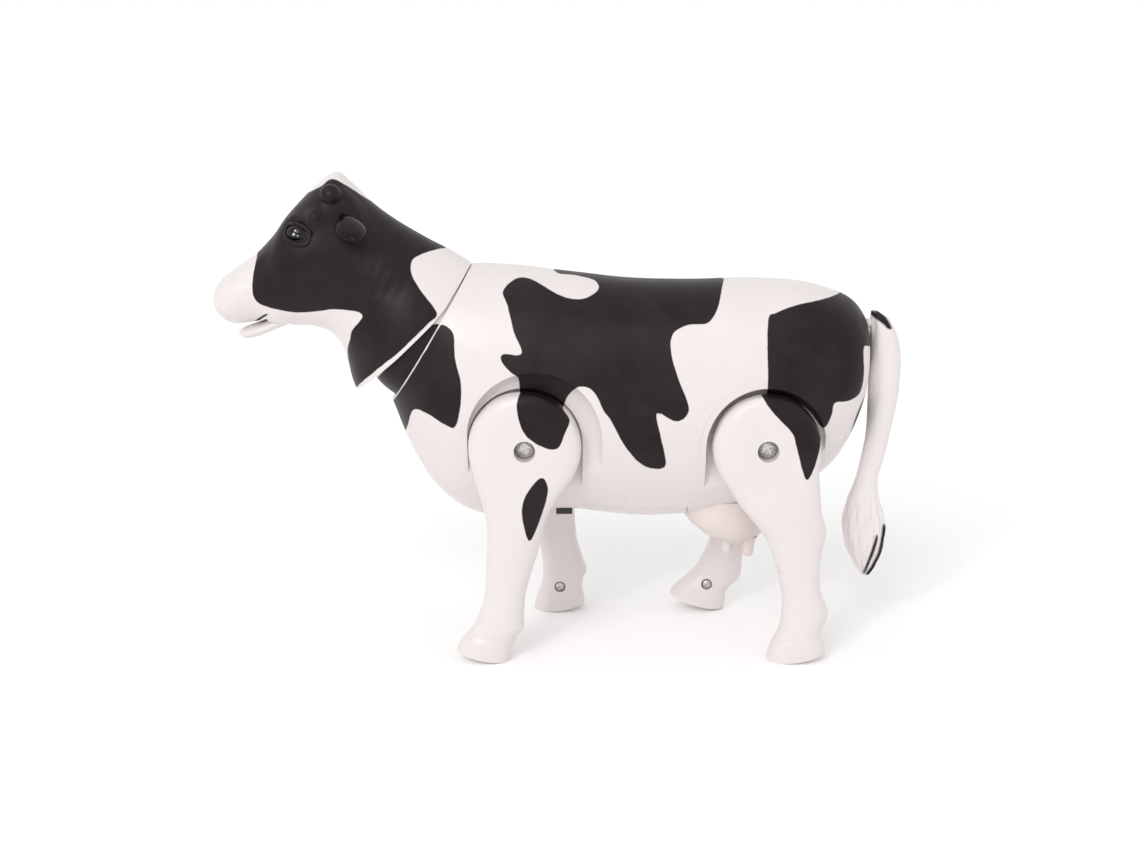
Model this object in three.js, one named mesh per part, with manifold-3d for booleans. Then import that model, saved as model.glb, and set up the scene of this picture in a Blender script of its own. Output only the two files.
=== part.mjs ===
// Walking toy cow: hollow moulded halves round a small gearbox that swings the four legs.
// Millimetres. X runs from nose (-X) to tail (+X), Y from the cow's left (-Y) to its right, Z is up.
// Paired pieces are made on the right side and mirrored. The torso's own frame has z = 0 at the hips.
import * as THREE from "three";
import { mergeVertices } from "three/addons/utils/BufferGeometryUtils.js";
import Module from "manifold-3d";

const wasm = await Module();
wasm.setup();

// Fits and walls
const GAP = 0.3;
const RUN = 0.35;
const TORSO_WALL = 2.2;
const HEAD_WALL = 2.0;
const LEG_WALL = 2.2;
const FAR = 90;

// Torso
const TORSO_HALF_WIDTH = 36;
const BACK_ROUNDNESS = 2.1;
const BELLY_ROUNDNESS = 1.7;

// Legs and hips
const LEG_LENGTH = 93;
const SOLE_RADIUS = 70;
const SWING = THREE.MathUtils.degToRad(10);
// The right rear leg stands this much further forward, within the play of its link
const REAR_LEAD = THREE.MathUtils.degToRad(4);
const FRONT_HIP_X = -14;
const REAR_HIP_X = 86;
const FRONT_DISC_R = 23.4;
const REAR_DISC_R = 22.4;
const LEG_INNER_Y = 24.6;
const LEG_THICKNESS = 16.6;
const LEG_RIM = 5;
const FRONT_WELL = { r: 28, dx: 4, dz: 3.5 };
const REAR_WELL = { r: 25, dx: 0, dz: 0 };
const HIP_STUB_R = 3.2;
const HIP_HUB_R = 7.5;
const HIP_SCREW_HEAD_R = 4.1;
const HIP_SCREW_HEAD_H = 2.2;
const HIP_SCREW_R = 1.3;
const HIP_SCREW_LENGTH = 11;
const HIP_SINK = 6.2;
const FOOT_SCREW_DROP = 82;
const FOOT_SCREW_HEAD_R = 2.2;
const FOOT_SCREW_HEAD_H = 1.6;
const FOOT_SCREW_R = 1.1;
const FOOT_SCREW_LENGTH = 9;
const FOOT_BOSS_R = 3.4;

// Side links between front and rear legs
const LINK_ARM = 12;
const LINK_PIN_R = 1.5;
const LINK_EYE_R = 4;
const LINK_WIDTH = 4;
const LINK_INNER_Y = 17.6;
const LINK_THICKNESS = 2;
const LINK_OPEN_CLEARANCE = 0.8;

// Crank shaft
const CRANK_RISE = 14;
const CRANK_SHAFT_R = 2;
const CRANK_DISC_R = 5.2;
const CRANK_DISC_T = 2.4;
const CRANK_HUB_R = 4;
const CRANK_PIN_R = 1.2;

// Gear train
const GEAR_MODULE = 0.96;
const PINION_TEETH = 8;
const SMALL_TEETH = 8;
const BIG_TEETH = 24;
const CRANK_TEETH = 30;
const MESH_SLACK = 0.2;
const GEAR_T = 2.4;
const GEAR_PIN_R = 1.2;
const GEAR_HUB_R = 2.4;
const SECOND_GEAR_ANGLE = THREE.MathUtils.degToRad(48);
const FIRST_GEAR_ANGLE = THREE.MathUtils.degToRad(12);
const MOTOR_ANGLE = THREE.MathUtils.degToRad(-5);
const PLATE_INNER_Y = 12.5;
const PLATE_T = 1.5;
const PLATE = { x0: -24, x1: 42, z0: 4, z1: 46, corner: 5 };
const POST_R = 2.6;
const SPACER_R = 2;

// Motor
const MOTOR_R = 10;
const MOTOR_FLAT = 7.6;
const MOTOR_LENGTH = 24.5;
const MOTOR_NOSE_Y = 7.5;
const MOTOR_SHAFT_R = 1;
const MOTOR_WALL = 0.9;
const ROTOR_R = 6;
const ROTOR_LENGTH = 17;

// Battery box, door and cells
const CELL_R = 7.1;
const CELL_LENGTH = 50.5;
const CELL_PITCH = 14.8;
const CELL_Z = -22.4;
const BOX_WALL = 1.5;
const CONTACT_T = 0.5;
const CONTACT_HEIGHT = 8;
const BOX_X0 = 7;
const DOOR = { x0: 9.5, x1: 54.5, halfWidth: 13 };

// Belly switch
const KNOB = { x0: -1.3, length: 7, halfWidth: 2, drop: 1.6, travel: 2.5 };
const SWITCH = { length: 9, halfWidth: 6, height: 9 };

// Neck, head and jaw
const NECK_X = -53.2;
const NECK_Z = 41.4;
const NECK_TILT = Math.atan2(0.531, 0.848);
const COLLAR_R = 30.8;
const COLLAR_HALF_WIDTH = 24.7;
const COLLAR_WALL = 2;
const COLLAR_BACK = 5;
const COLLAR_FRONT = 15;
const COLLAR_CLEARANCE = 0.65;
const HEAD_NOD = 12;
const NECK_PIN_R = 2;
const NECK_ARM_LENGTH = 42;
const NECK_ARM_WIDTH = 9;
const NECK_ARM_HALF_T = 3;
const NECK_HUB_R = 6;
const ARM_HOLDS = [24, 39];
const JAW_HINGE = { x: -56.5, z: 8.8 };
const JAW_OPEN = THREE.MathUtils.degToRad(9);
const JAW_CLEARANCE = 0.5;
const JAW_PIN_R = 1.3;
const JAW_HUB_R = 3;
const EYE = { x: -54, y: 16.4, z: 44.4, r: 4.4 };
const HORN = { x: -40.4, y: 12.5, z: 61, r: 4.6 };
const EAR = { x: -34.4, y: 17.5, z: 50, length: 17.5, width: 12.5, thickness: 7 };
const EAR_LIFT = THREE.MathUtils.degToRad(72);
const EAR_SWEEP = -0.4;
const EAR_TWIST = 0.1;

// Tail and udder
const TAIL_PEG = { x0: 121, z: 45.5, r: 2, flangeR: 4.2, flangeT: 1.8 };
const TAIL_BOSS_R = 5.6;
const TEAT = { r: 2, tipR: 1.4, length: 6.2, spread: 5.2, first: 72, pitch: 8.5 };

const HIP_Z = (LEG_LENGTH - SOLE_RADIUS) * Math.cos(SWING) + SOLE_RADIUS;
const WELL_FLOOR_Y = LEG_INNER_Y - 0.6;
const LEG_OUTER_Y = LEG_INNER_Y + LEG_THICKNESS;
const LEG_MID_Y = LEG_INNER_Y + LEG_THICKNESS / 2;
const HIP_SEAT_Y = LEG_OUTER_Y - HIP_SINK;
const PLATE_OUTER_Y = PLATE_INNER_Y + PLATE_T;
const CELL_X0 = BOX_X0 + BOX_WALL + CONTACT_T + 2 * GAP;
const CELL_X1 = CELL_X0 + CELL_LENGTH;
const BOX_X1 = CELL_X1 + CONTACT_T + 2 * GAP + BOX_WALL;
const BOX_HALF = CELL_PITCH / 2 + CELL_R + GAP;
const BOX_TOP = CELL_Z + CELL_R + GAP;

// Outlines of the moulded forms.
// A station is a section: [front or top x, z, back or bottom x, z, half width, centre y].

const W = TORSO_HALF_WIDTH;
const TORSO = [
  [130.6, 42, 131, 22, 0.25 * W],
  [129.6, 47.5, 129.8, 9, 0.5 * W],
  [124.5, 54, 125.4, -4.8, 0.7 * W],
  [115, 59.5, 117, -16, 0.84 * W],
  [101, 63.4, 102, -26.4, 0.93 * W],
  [80, 64.6, 80, -34.5, 0.98 * W],
  [55, 64, 56, -37.4, W],
  [30, 64.6, 28, -37.2, W],
  [8, 67, 3, -36.6, 0.99 * W],
  [-10, 69, -20, -37.8, 0.97 * W],
  [-22, 70, -36, -37, 0.93 * W],
  [-30, 70.6, -50.8, -26.8, 0.88 * W],
  [-34.5, 70.8, -62.5, -8.5, 0.82 * W],
  [-37, 70.3, -71, 12.8, 0.75 * W],
];

const HEAD = [
  [17.2, 29.4, -24.8, -38, 27],
  [7.2, 35.5, -32.9, -23.7, 25.8],
  [-1.8, 40.2, -36.3, -12, 23.5],
  [-13.8, 48.4, -38.3, -5, 21.5],
  [-22.5, 56.6, -42.8, 0.5, 20.4],
  [-30.8, 66, -48.8, 2.8, 20],
  [-37.8, 68.5, -54.8, 3.5, 19.6],
  [-44.8, 65, -60.8, 3.2, 19.2],
  [-52.8, 58, -65.8, 3, 18],
  [-60.3, 50.5, -69.8, 4.5, 16],
  [-66.3, 41.5, -73.8, 5.2, 14.2],
  [-73.8, 33.7, -77.8, 4.8, 13],
  [-81.8, 28, -82.3, 4.2, 12.6],
  [-87.8, 23.5, -86.6, 5.5, 11.4],
  [-91, 19.5, -90.2, 9.2, 8],
  [-91.8, 16.3, -91.7, 13.2, 3],
];

const JAW = [
  [-54, 11.2, -53.2, 6.4, 7.4],
  [-60.8, 9.2, -59.8, 4.4, 7.4],
  [-67.8, 6.8, -66.4, 1.6, 7.2],
  [-73.8, 4.6, -72.8, -1, 6.8],
  [-79.3, 2.3, -78.3, -2.2, 5.6],
  [-80.7, 1.1, -80.3, -0.6, 2.6],
];

const FRONT_LEG = [
  [-17, -14, 17, -14, 7.6, 0.2],
  [-14.5, -24, 14.3, -24, 7.4, 0.2],
  [-10.4, -33, 13.8, -33, 7.2, 0.2],
  [-8.4, -44, 13, -44, 6.9, 0],
  [-7.2, -54, 11.8, -54, 6.6, 0],
  [-6, -63, 11, -63, 6.5, 0],
  [-6, -70, 11.4, -70, 6.7, 0],
  [-7, -77, 12.4, -77, 7.2, 0],
  [-8.6, -81.5, 10.6, -81.5, 7.2, 0],
  [-11.2, -86, 9.6, -86, 7.8, 0],
  [-13.4, -91, 9.6, -90, 8.2, 0],
  [-13.4, -96, 9.4, -96, 8.2, 0],
];

const REAR_LEG = [
  [-18, -12, 18.5, -12, 7.6, 0.2],
  [-15.6, -22, 18.6, -22, 7.4, 0.2],
  [-9.6, -32, 18.2, -32, 7.2, 0.2],
  [-6.2, -40, 19, -40, 6.9, 0],
  [-4.6, -47, 16.4, -47, 6.6, 0],
  [-3.6, -56, 14, -56, 6.4, 0],
  [-3.6, -66, 12.6, -66, 6.5, 0],
  [-5.4, -75, 14.4, -75, 7, 0],
  [-7.6, -80, 12, -80, 7.2, 0],
  [-11.6, -85.5, 10.2, -85, 7.8, 0],
  [-14.4, -91, 10.8, -90, 8.2, 0],
  [-14.4, -96, 10.4, -96, 8.2, 0],
];

const TAIL = [
  [131.9, 50.6, 135, 50.4, 2.2],
  [131.7, 46, 140.8, 45.4, 4.8],
  [131.7, 35, 144.8, 34, 5.8],
  [131.7, 16, 144.8, 16, 5.8],
  [131.5, -1, 142, -1, 5.2],
  [130, -12, 140, -12, 4.6],
  [127.5, -23.5, 137.4, -22, 4.6],
  [124.3, -33, 138, -31, 5.6],
  [122.9, -43, 141, -43, 7],
  [124.3, -52, 140.4, -52, 6.4],
  [128.2, -60.5, 138, -60.5, 4.2],
  [132.4, -66, 134.6, -66, 1.4],
];

const UDDER = [
  [56, -30, 90, -30, 13.5],
  [54.5, -37.5, 91, -36, 14.5],
  [59, -43.5, 90.5, -42.5, 14.2],
  [64.5, -48, 88.5, -47.5, 11.8],
  [70.5, -50.6, 84, -50.4, 7.6],
  [75, -51.4, 80, -51.4, 3],
];

// The mouth's slit: lip, a point that bends the lip line, corner, then below the jaw
const MOUTH = [[-90, 1.4], [-78, 4.6], [-69.4, 7.9], [-68, 4], [-80, -10]];

// What lies behind the head's rear edge: along the torso's rim at the top, then off it below
const HEAD_REAR = [[46.2, 70.2], [15.6, 28.6], [6.9, 14], [2.2, 7.6], [-32.9, -23.7], [-52.9, -41.7], [60, -60]];

// Solids from geometry, and geometry from solids

function solid(geometry) {
  const bare = geometry.clone();
  bare.deleteAttribute("normal");
  bare.deleteAttribute("uv");
  const merged = mergeVertices(bare, 1e-4);
  const vertProperties = merged.getAttribute("position").array;
  const triVerts = new Uint32Array(merged.index.array);
  return new wasm.Manifold(new wasm.Mesh({ numProp: 3, vertProperties, triVerts }));
}

function geometryOf(body) {
  const mesh = body.getMesh();
  const geometry = new THREE.BufferGeometry();
  geometry.setAttribute("position", new THREE.BufferAttribute(mesh.vertProperties, 3));
  geometry.setIndex(new THREE.BufferAttribute(mesh.triVerts, 1));
  return geometry;
}

function joined(bodies) {
  return bodies.reduce((all, body) => all.add(body));
}

// A smooth skin through the stations, closed by flat ends. A positive inset shrinks each section.
// The skin runs from one share of the stations to another.
function loft(stations, { around = 24, steps = 20, inset = 0, from = 0, to = 1, top = 2, bottom = 2 }) {
  const curve = (pick) => new THREE.CatmullRomCurve3(stations.map(pick), false, "catmullrom", 0.5);
  const frontLine = curve((s) => new THREE.Vector3(s[0], 0, s[1]));
  const backLine = curve((s) => new THREE.Vector3(s[2], 0, s[3]));
  const widthLine = curve((s) => new THREE.Vector3(s[4], s[5] ?? 0, 0));
  const points = [];
  const faces = [];
  const bend = (value, power) => Math.sign(value) * Math.abs(value) ** (2 / power);
  for (let i = 0; i <= steps; i++) {
    const t = from + ((to - from) * i) / steps;
    const front = frontLine.getPoint(t);
    const back = backLine.getPoint(t);
    const width = widthLine.getPoint(t);
    const middle = front.clone().add(back).multiplyScalar(0.5);
    const reach = front.clone().sub(back);
    const half = Math.max(reach.length() / 2 - inset, 0.3);
    reach.normalize().multiplyScalar(half);
    const halfWidth = Math.max(width.x - inset, 0.3);
    for (let j = 0; j < around; j++) {
      const angle = (2 * Math.PI * j) / around;
      const power = Math.cos(angle) > 0 ? top : bottom;
      const c = bend(Math.cos(angle), power);
      const s = bend(Math.sin(angle), power);
      points.push(middle.x + reach.x * c, width.y + halfWidth * s, middle.z + reach.z * c);
    }
  }
  const corner = (i, j) => i * around + (j % around);
  for (let i = 0; i < steps; i++) {
    for (let j = 0; j < around; j++) {
      faces.push(corner(i, j), corner(i, j + 1), corner(i + 1, j + 1));
      faces.push(corner(i, j), corner(i + 1, j + 1), corner(i + 1, j));
    }
  }
  for (let j = 1; j < around - 1; j++) {
    faces.push(corner(0, 0), corner(0, j + 1), corner(0, j));
    faces.push(corner(steps, 0), corner(steps, j), corner(steps, j + 1));
  }
  const geometry = new THREE.BufferGeometry();
  geometry.setAttribute("position", new THREE.Float32BufferAttribute(points, 3));
  geometry.setIndex(faces);
  return solid(geometry);
}

// A cylinder along Y between two y values, or a cone where a second radius is given
function rod(r, y0, y1, x = 0, z = 0, sides = 24, r1 = r) {
  const geometry = new THREE.CylinderGeometry(r1, r, y1 - y0, sides);
  return solid(geometry.translate(x, (y0 + y1) / 2, z));
}

function rodX(r, x0, x1, y, z, sides = 24) {
  const geometry = new THREE.CylinderGeometry(r, r, x1 - x0, sides).rotateZ(Math.PI / 2);
  return solid(geometry.translate((x0 + x1) / 2, y, z));
}

function block(x0, x1, y0, y1, z0, z1) {
  const geometry = new THREE.BoxGeometry(x1 - x0, y1 - y0, z1 - z0);
  return solid(geometry.translate((x0 + x1) / 2, (y0 + y1) / 2, (z0 + z1) / 2));
}

function ball(r, x, y, z, flat = 1) {
  const geometry = new THREE.SphereGeometry(r, 8, 5).scale(1, flat, 1);
  return solid(geometry.translate(x, y, z));
}

// A flat shape drawn in X and Z, thickened along Y
function plate(shape, y0, y1, curveSegments = 8) {
  const geometry = new THREE.ExtrudeGeometry(shape, { depth: y1 - y0, bevelEnabled: false, curveSegments });
  return solid(geometry.rotateX(Math.PI / 2).translate(0, y1, 0));
}

function roundedBox(x0, x1, z0, z1, r) {
  const shape = new THREE.Shape();
  shape.absarc(x1 - r, z1 - r, r, 0, Math.PI / 2, false);
  shape.absarc(x0 + r, z1 - r, r, Math.PI / 2, Math.PI, false);
  shape.absarc(x0 + r, z0 + r, r, Math.PI, 1.5 * Math.PI, false);
  shape.absarc(x1 - r, z0 + r, r, 1.5 * Math.PI, 2 * Math.PI, false);
  return shape;
}

// Torso

const HIPS = [
  { x: FRONT_HIP_X, well: FRONT_WELL, linkSide: -1, crank: true },
  { x: REAR_HIP_X, well: REAR_WELL, linkSide: 1, crank: false },
];
const THROW = CRANK_RISE * Math.tan(SWING);
const NECK_FORWARD = new THREE.Vector2(-Math.cos(NECK_TILT), Math.sin(NECK_TILT));

const torsoForm = { around: 18, steps: 12, top: BACK_ROUNDNESS, bottom: BELLY_ROUNDNESS };
const torsoOuter = loft(TORSO, torsoForm);
const torsoInner = joined([
  loft(TORSO, { ...torsoForm, inset: TORSO_WALL, from: 0.03, to: 0.99 }),
  neckBarrel({ grow: GAP, back: COLLAR_BACK + 1, front: COLLAR_FRONT, x: NECK_X, z: NECK_Z }),
]);
const torsoClear = loft(TORSO, { ...torsoForm, inset: -GAP });

// A round arch over a straight skirt that is open downwards
function wellShape(hip, grow) {
  const r = hip.well.r + grow;
  const x = hip.x + hip.well.dx;
  const shape = new THREE.Shape();
  shape.absarc(x, hip.well.dz, r, 0, Math.PI, false);
  shape.lineTo(x - r, -FAR);
  shape.lineTo(x + r, -FAR);
  shape.closePath();
  return shape;
}

function wellCup(hip) {
  return plate(wellShape(hip, TORSO_WALL), WELL_FLOOR_Y - TORSO_WALL, FAR, 6).intersect(torsoOuter);
}

function well(hip) {
  return plate(wellShape(hip, 0), WELL_FLOOR_Y, FAR, 10);
}

function hipStub(hip) {
  const stub = rod(HIP_STUB_R, WELL_FLOOR_Y - 1, HIP_SEAT_Y + 0.1, hip.x, 0, 8);
  const pilot = HIP_SEAT_Y + GAP + 0.1 - HIP_SCREW_LENGTH - 1;
  return stub.subtract(rod(HIP_SCREW_R + GAP, pilot, FAR, hip.x, 0, 6));
}

// The window that a leg's link pin swings in
function linkWindow(hip) {
  const z = hip.linkSide * LINK_ARM;
  const halfLength = LINK_ARM * Math.sin(SWING + REAR_LEAD) + LINK_PIN_R + 2 * RUN;
  const halfHeight = LINK_PIN_R + 2 * RUN;
  const shape = roundedBox(hip.x - halfLength, hip.x + halfLength, z - halfHeight, z + halfHeight, halfHeight - 0.05);
  return plate(shape, WELL_FLOOR_Y - TORSO_WALL - 1, WELL_FLOOR_Y + 1, 2);
}

function crankWindow() {
  const r = THROW + CRANK_PIN_R + 2 * RUN;
  return rod(r, WELL_FLOOR_Y - TORSO_WALL - 1, WELL_FLOOR_Y + 1, FRONT_HIP_X, CRANK_RISE, 8);
}

const PLATE_CORNERS = [
  [PLATE.x0 + PLATE.corner, PLATE.z1 - PLATE.corner],
  [PLATE.x1 - PLATE.corner, PLATE.z1 - PLATE.corner],
  [PLATE.x1 - PLATE.corner, PLATE.z0 + PLATE.corner],
];

function gearboxPosts() {
  const posts = PLATE_CORNERS.map(([x, z]) => rod(POST_R, PLATE_OUTER_Y + GAP, FAR, x, z, 6));
  return joined(posts).intersect(torsoOuter);
}

function tailBoss() {
  const boss = rodX(TAIL_BOSS_R, TAIL_PEG.x0 + GAP, FAR + 60, 0, TAIL_PEG.z, 8).intersect(torsoOuter);
  return boss;
}

function doorPatch(grow) {
  const { x0, x1, halfWidth } = DOOR;
  return block(x0 - grow, x1 + grow, -halfWidth - grow, halfWidth + grow, -FAR, CELL_Z);
}

function knobSlot() {
  const x0 = KNOB.x0 - KNOB.travel - RUN;
  const x1 = KNOB.x0 + KNOB.length + RUN;
  return block(x0, x1, -KNOB.halfWidth - RUN, KNOB.halfWidth + RUN, -FAR, CELL_Z);
}

function torsoHalf() {
  let shell = torsoOuter.subtract(torsoInner);
  shell = joined([shell, ...HIPS.map(wellCup), gearboxPosts(), tailBoss()]);
  for (const hip of HIPS) {
    shell = shell.subtract(well(hip)).add(hipStub(hip));
    shell = shell.subtract(linkWindow(hip));
  }
  shell = shell.subtract(crankWindow());
  shell = shell.subtract(rodX(TAIL_PEG.r + RUN, 0, FAR + 60, 0, TAIL_PEG.z, 8));
  shell = shell.subtract(rodX(TAIL_PEG.flangeR + RUN, 0, TAIL_PEG.x0 + GAP, 0, TAIL_PEG.z, 8));
  shell = shell.subtract(doorPatch(GAP)).subtract(knobSlot());
  return shell.intersect(block(-2 * FAR, 2 * FAR, GAP / 2, FAR, -FAR, FAR));
}

function batteryDoor() {
  return torsoOuter.subtract(torsoInner).intersect(doorPatch(0));
}

// Neck collar: a band of a dome that turns about the neck pin

function neckBarrel({ grow = 0, back = COLLAR_BACK, front = COLLAR_FRONT, x, z }) {
  const points = [];
  const rings = 6;
  for (let i = 0; i <= rings; i++) {
    const angle = -Math.PI / 2 + (Math.PI * i) / rings;
    const r = (COLLAR_R + grow) * Math.cos(angle);
    points.push(new THREE.Vector2(r, (COLLAR_HALF_WIDTH + grow) * Math.sin(angle)));
  }
  const dome = solid(new THREE.LatheGeometry(points, 24).translate(x, 0, z));
  const slice = new THREE.BoxGeometry(front + back, 2 * FAR, 2 * FAR);
  slice.translate(-(front - back) / 2, 0, 0).rotateY(NECK_TILT).translate(x, 0, z);
  return dome.intersect(solid(slice));
}

function neckCollar() {
  const pin = { x: NECK_X, z: NECK_Z };
  const outer = neckBarrel(pin);
  const hollow = neckBarrel({ ...pin, grow: -COLLAR_WALL, back: COLLAR_BACK + 1, front: COLLAR_FRONT + 1 });
  const bosses = [-1, 1].map((side) => {
    const near = NECK_ARM_HALF_T + GAP;
    const y0 = side > 0 ? near : -FAR;
    const y1 = side > 0 ? FAR : -near;
    return rod(NECK_PIN_R + 2.5, y0, y1, NECK_X, NECK_Z, 6).intersect(outer);
  });
  const band = joined([outer.subtract(hollow), ...bosses]);
  const halfPin = COLLAR_HALF_WIDTH - COLLAR_WALL + GAP;
  return band.subtract(rod(NECK_PIN_R + GAP, -halfPin, halfPin, NECK_X, NECK_Z, 8));
}

function neckPin() {
  const half = COLLAR_HALF_WIDTH - COLLAR_WALL;
  return rod(NECK_PIN_R, -half, half, NECK_X, NECK_Z, 8);
}

// Head, in a frame whose origin is the neck pin

const headForm = { around: 16, steps: 13 };
const headOuter = loft(HEAD, headForm);

function headRear() {
  return plate(new THREE.Shape(HEAD_REAR.map(([x, z]) => new THREE.Vector2(x, z))), -FAR, FAR);
}

function jawSolid(inset, angle) {
  const jaw = geometryOf(loft(JAW, { around: 8, steps: 5, inset }));
  jaw.translate(-JAW_HINGE.x, 0, -JAW_HINGE.z).rotateY(angle).translate(JAW_HINGE.x, 0, JAW_HINGE.z);
  return solid(jaw);
}

// The mouth's open slit between the upper lip and the jaw
function mouthSlit() {
  const shape = new THREE.Shape();
  const [lip, bend, corner, ...below] = MOUTH;
  shape.moveTo(...lip);
  shape.quadraticCurveTo(...bend, ...corner);
  for (const point of below) {
    shape.lineTo(...point);
  }
  shape.closePath();
  return plate(shape, -FAR, FAR, 4);
}

function armHolds() {
  const holds = ARM_HOLDS.map((distance) => {
    const x = NECK_FORWARD.x * distance;
    const z = NECK_FORWARD.y * distance;
    return rod(3.4, NECK_ARM_HALF_T + GAP, FAR, x, z, 6);
  });
  return joined(holds).intersect(headOuter);
}

function headHalf() {
  const inner = loft(HEAD, { around: 10, steps: 8, inset: HEAD_WALL, from: 0, to: 0.93 });
  const eye = ball(EYE.r, EYE.x, EYE.y, EYE.z, 0.5);
  const horn = ball(HORN.r, HORN.x, HORN.y, HORN.z, 0.9);
  const jawBoss = rod(JAW_PIN_R + 2, JAW[0][4] + GAP, FAR, JAW_HINGE.x, JAW_HINGE.z, 6).intersect(headOuter);
  let shell = joined([headOuter, eye, horn]).subtract(inner);
  shell = joined([shell, armHolds(), jawBoss]);
  const back = COLLAR_BACK + HEAD_NOD;
  const front = COLLAR_FRONT + HEAD_NOD;
  shell = shell.subtract(neckBarrel({ grow: COLLAR_CLEARANCE, back, front, x: 0, z: 0 }));
  const jawRoom = [0, 1].map((share) => jawSolid(-JAW_CLEARANCE, -JAW_OPEN * share));
  shell = shell.subtract(joined(jawRoom)).subtract(mouthSlit()).subtract(headRear());
  const hubReach = JAW[0][4] + GAP;
  shell = shell.subtract(rod(JAW_HUB_R + RUN, -hubReach, hubReach, JAW_HINGE.x, JAW_HINGE.z, 10));
  const pinReach = JAW[0][4] + 2.5;
  shell = shell.subtract(rod(JAW_PIN_R + GAP, -pinReach, pinReach, JAW_HINGE.x, JAW_HINGE.z, 8));
  shell = shell.subtract(earPeg(GAP));
  return shell.intersect(block(-2 * FAR, 2 * FAR, GAP / 2, FAR, -FAR, 2 * FAR));
}

function lowerJaw() {
  const hub = rod(JAW_HUB_R, -JAW[0][4], JAW[0][4], JAW_HINGE.x, JAW_HINGE.z, 10);
  const bore = rod(JAW_PIN_R + RUN, -FAR, FAR, JAW_HINGE.x, JAW_HINGE.z, 10);
  return jawSolid(0, 0).add(hub).subtract(bore);
}

function jawPin() {
  const reach = JAW[0][4] + 2.2;
  return rod(JAW_PIN_R, -reach, reach, JAW_HINGE.x, JAW_HINGE.z, 10);
}

function neckArm() {
  const shape = new THREE.Shape();
  const half = NECK_ARM_WIDTH / 2;
  const turn = Math.asin(half / NECK_HUB_R);
  shape.absarc(0, 0, NECK_HUB_R, Math.PI + turn, 3 * Math.PI - turn, false);
  shape.absarc(-NECK_ARM_LENGTH, 0, half, 0.5 * Math.PI, 1.5 * Math.PI, false);
  const arm = geometryOf(plate(shape, -NECK_ARM_HALF_T, NECK_ARM_HALF_T, 8)).rotateY(NECK_TILT);
  return solid(arm).subtract(rod(NECK_PIN_R + RUN, -FAR, FAR, 0, 0, 12));
}

// Ears: a cupped leaf that stands out sideways, with a round peg in the head

function onEar(geometry) {
  geometry.rotateZ(EAR_TWIST).rotateX(EAR_LIFT).rotateZ(EAR_SWEEP);
  return geometry.translate(EAR.x, EAR.y, EAR.z);
}

function earPeg(grow) {
  const peg = new THREE.CylinderGeometry(2 + grow, 2 + grow, 8, 8).rotateX(Math.PI / 2);
  return solid(onEar(peg));
}

function ear() {
  const { length, width, thickness } = EAR;
  const leaf = [
    [-0.28, 0, 0.28, 0, 0.46],
    [-0.42, -0.2, 0.42, -0.2, 0.5],
    [-0.5, -0.42, 0.5, -0.42, 0.46],
    [-0.46, -0.64, 0.46, -0.64, 0.38],
    [-0.3, -0.84, 0.3, -0.84, 0.28],
    [-0.1, -1, 0.1, -1, 0.1],
  ];
  const sized = leaf.map((s) => [s[0] * width, s[1] * length, s[2] * width, s[3] * length, s[4] * thickness]);
  const cupSized = leaf.map((s) => [s[0] * width * 0.62, s[1] * length * 0.8 - 3, s[2] * width * 0.62,
    s[3] * length * 0.8 - 3, s[4] * thickness * 0.7, -0.42 * thickness]);
  const outside = solid(onEar(geometryOf(loft(sized, { around: 8, steps: 5 }))));
  const cup = solid(onEar(geometryOf(loft(cupSized, { around: 6, steps: 3 }))));
  const seat = loft(HEAD, { ...headForm, inset: -GAP });
  const leafOnly = outside.subtract(cup).subtract(seat);
  return leafOnly.add(earPeg(0));
}

// Legs, in a frame whose origin is the hip axis with the leg hanging straight

function legDisc(r, inset, sides) {
  const top = LEG_OUTER_Y - inset;
  const low = LEG_INNER_Y + inset;
  const rim = r - inset;
  const points = [new THREE.Vector2(0, low), new THREE.Vector2(rim, low)];
  const turns = 2;
  for (let i = 0; i <= turns; i++) {
    const angle = (Math.PI * i) / (2 * turns);
    const x = rim - LEG_RIM * (1 - Math.cos(angle));
    points.push(new THREE.Vector2(x, top - LEG_RIM * 0.8 * (1 - Math.sin(angle)) - 0.6));
  }
  points.push(new THREE.Vector2(0, top));
  return solid(new THREE.LatheGeometry(points, sides));
}

function legSolid(stations, discR, inset, form) {
  const placed = stations.map((s) => [s[0], s[1], s[2], s[3], s[4], LEG_MID_Y + s[5]]);
  return legDisc(discR, inset, form.discSides).add(loft(placed, { ...form, inset, top: 2.3, bottom: 2.3 }));
}

function legBody(stations, discR) {
  const sole = rod(SOLE_RADIUS, 0, FAR, 0, SOLE_RADIUS - LEG_LENGTH, 96);
  const outside = legSolid(stations, discR, 0, { around: 10, steps: 8, discSides: 18 }).intersect(sole);
  const ankle = { around: 6, steps: 3, to: 0.86, discSides: 10 };
  let core = legSolid(stations, discR, LEG_WALL, ankle);
  core = core.subtract(rod(HIP_HUB_R, 0, FAR, 0, 0, 8));
  core = core.subtract(rod(FOOT_BOSS_R, 0, FAR, 0, -FOOT_SCREW_DROP, 5));
  let leg = outside.subtract(core);
  leg = leg.subtract(rod(HIP_STUB_R + RUN, 0, FAR, 0, 0, 8));
  leg = leg.subtract(rod(HIP_SCREW_HEAD_R + RUN, HIP_SEAT_Y, FAR, 0, 0, 10));
  const screwFloor = LEG_INNER_Y + 1.1 + FOOT_SCREW_HEAD_H;
  leg = leg.subtract(rod(FOOT_SCREW_HEAD_R + GAP, 0, screwFloor, 0, -FOOT_SCREW_DROP, 8));
  return leg.subtract(rod(FOOT_SCREW_R + GAP, 0, LEG_OUTER_Y - 4, 0, -FOOT_SCREW_DROP, 6));
}

function legOuter(leg) {
  return leg.intersect(block(-FAR, FAR, LEG_MID_Y + GAP / 2, FAR, -2 * FAR, FAR));
}

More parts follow.
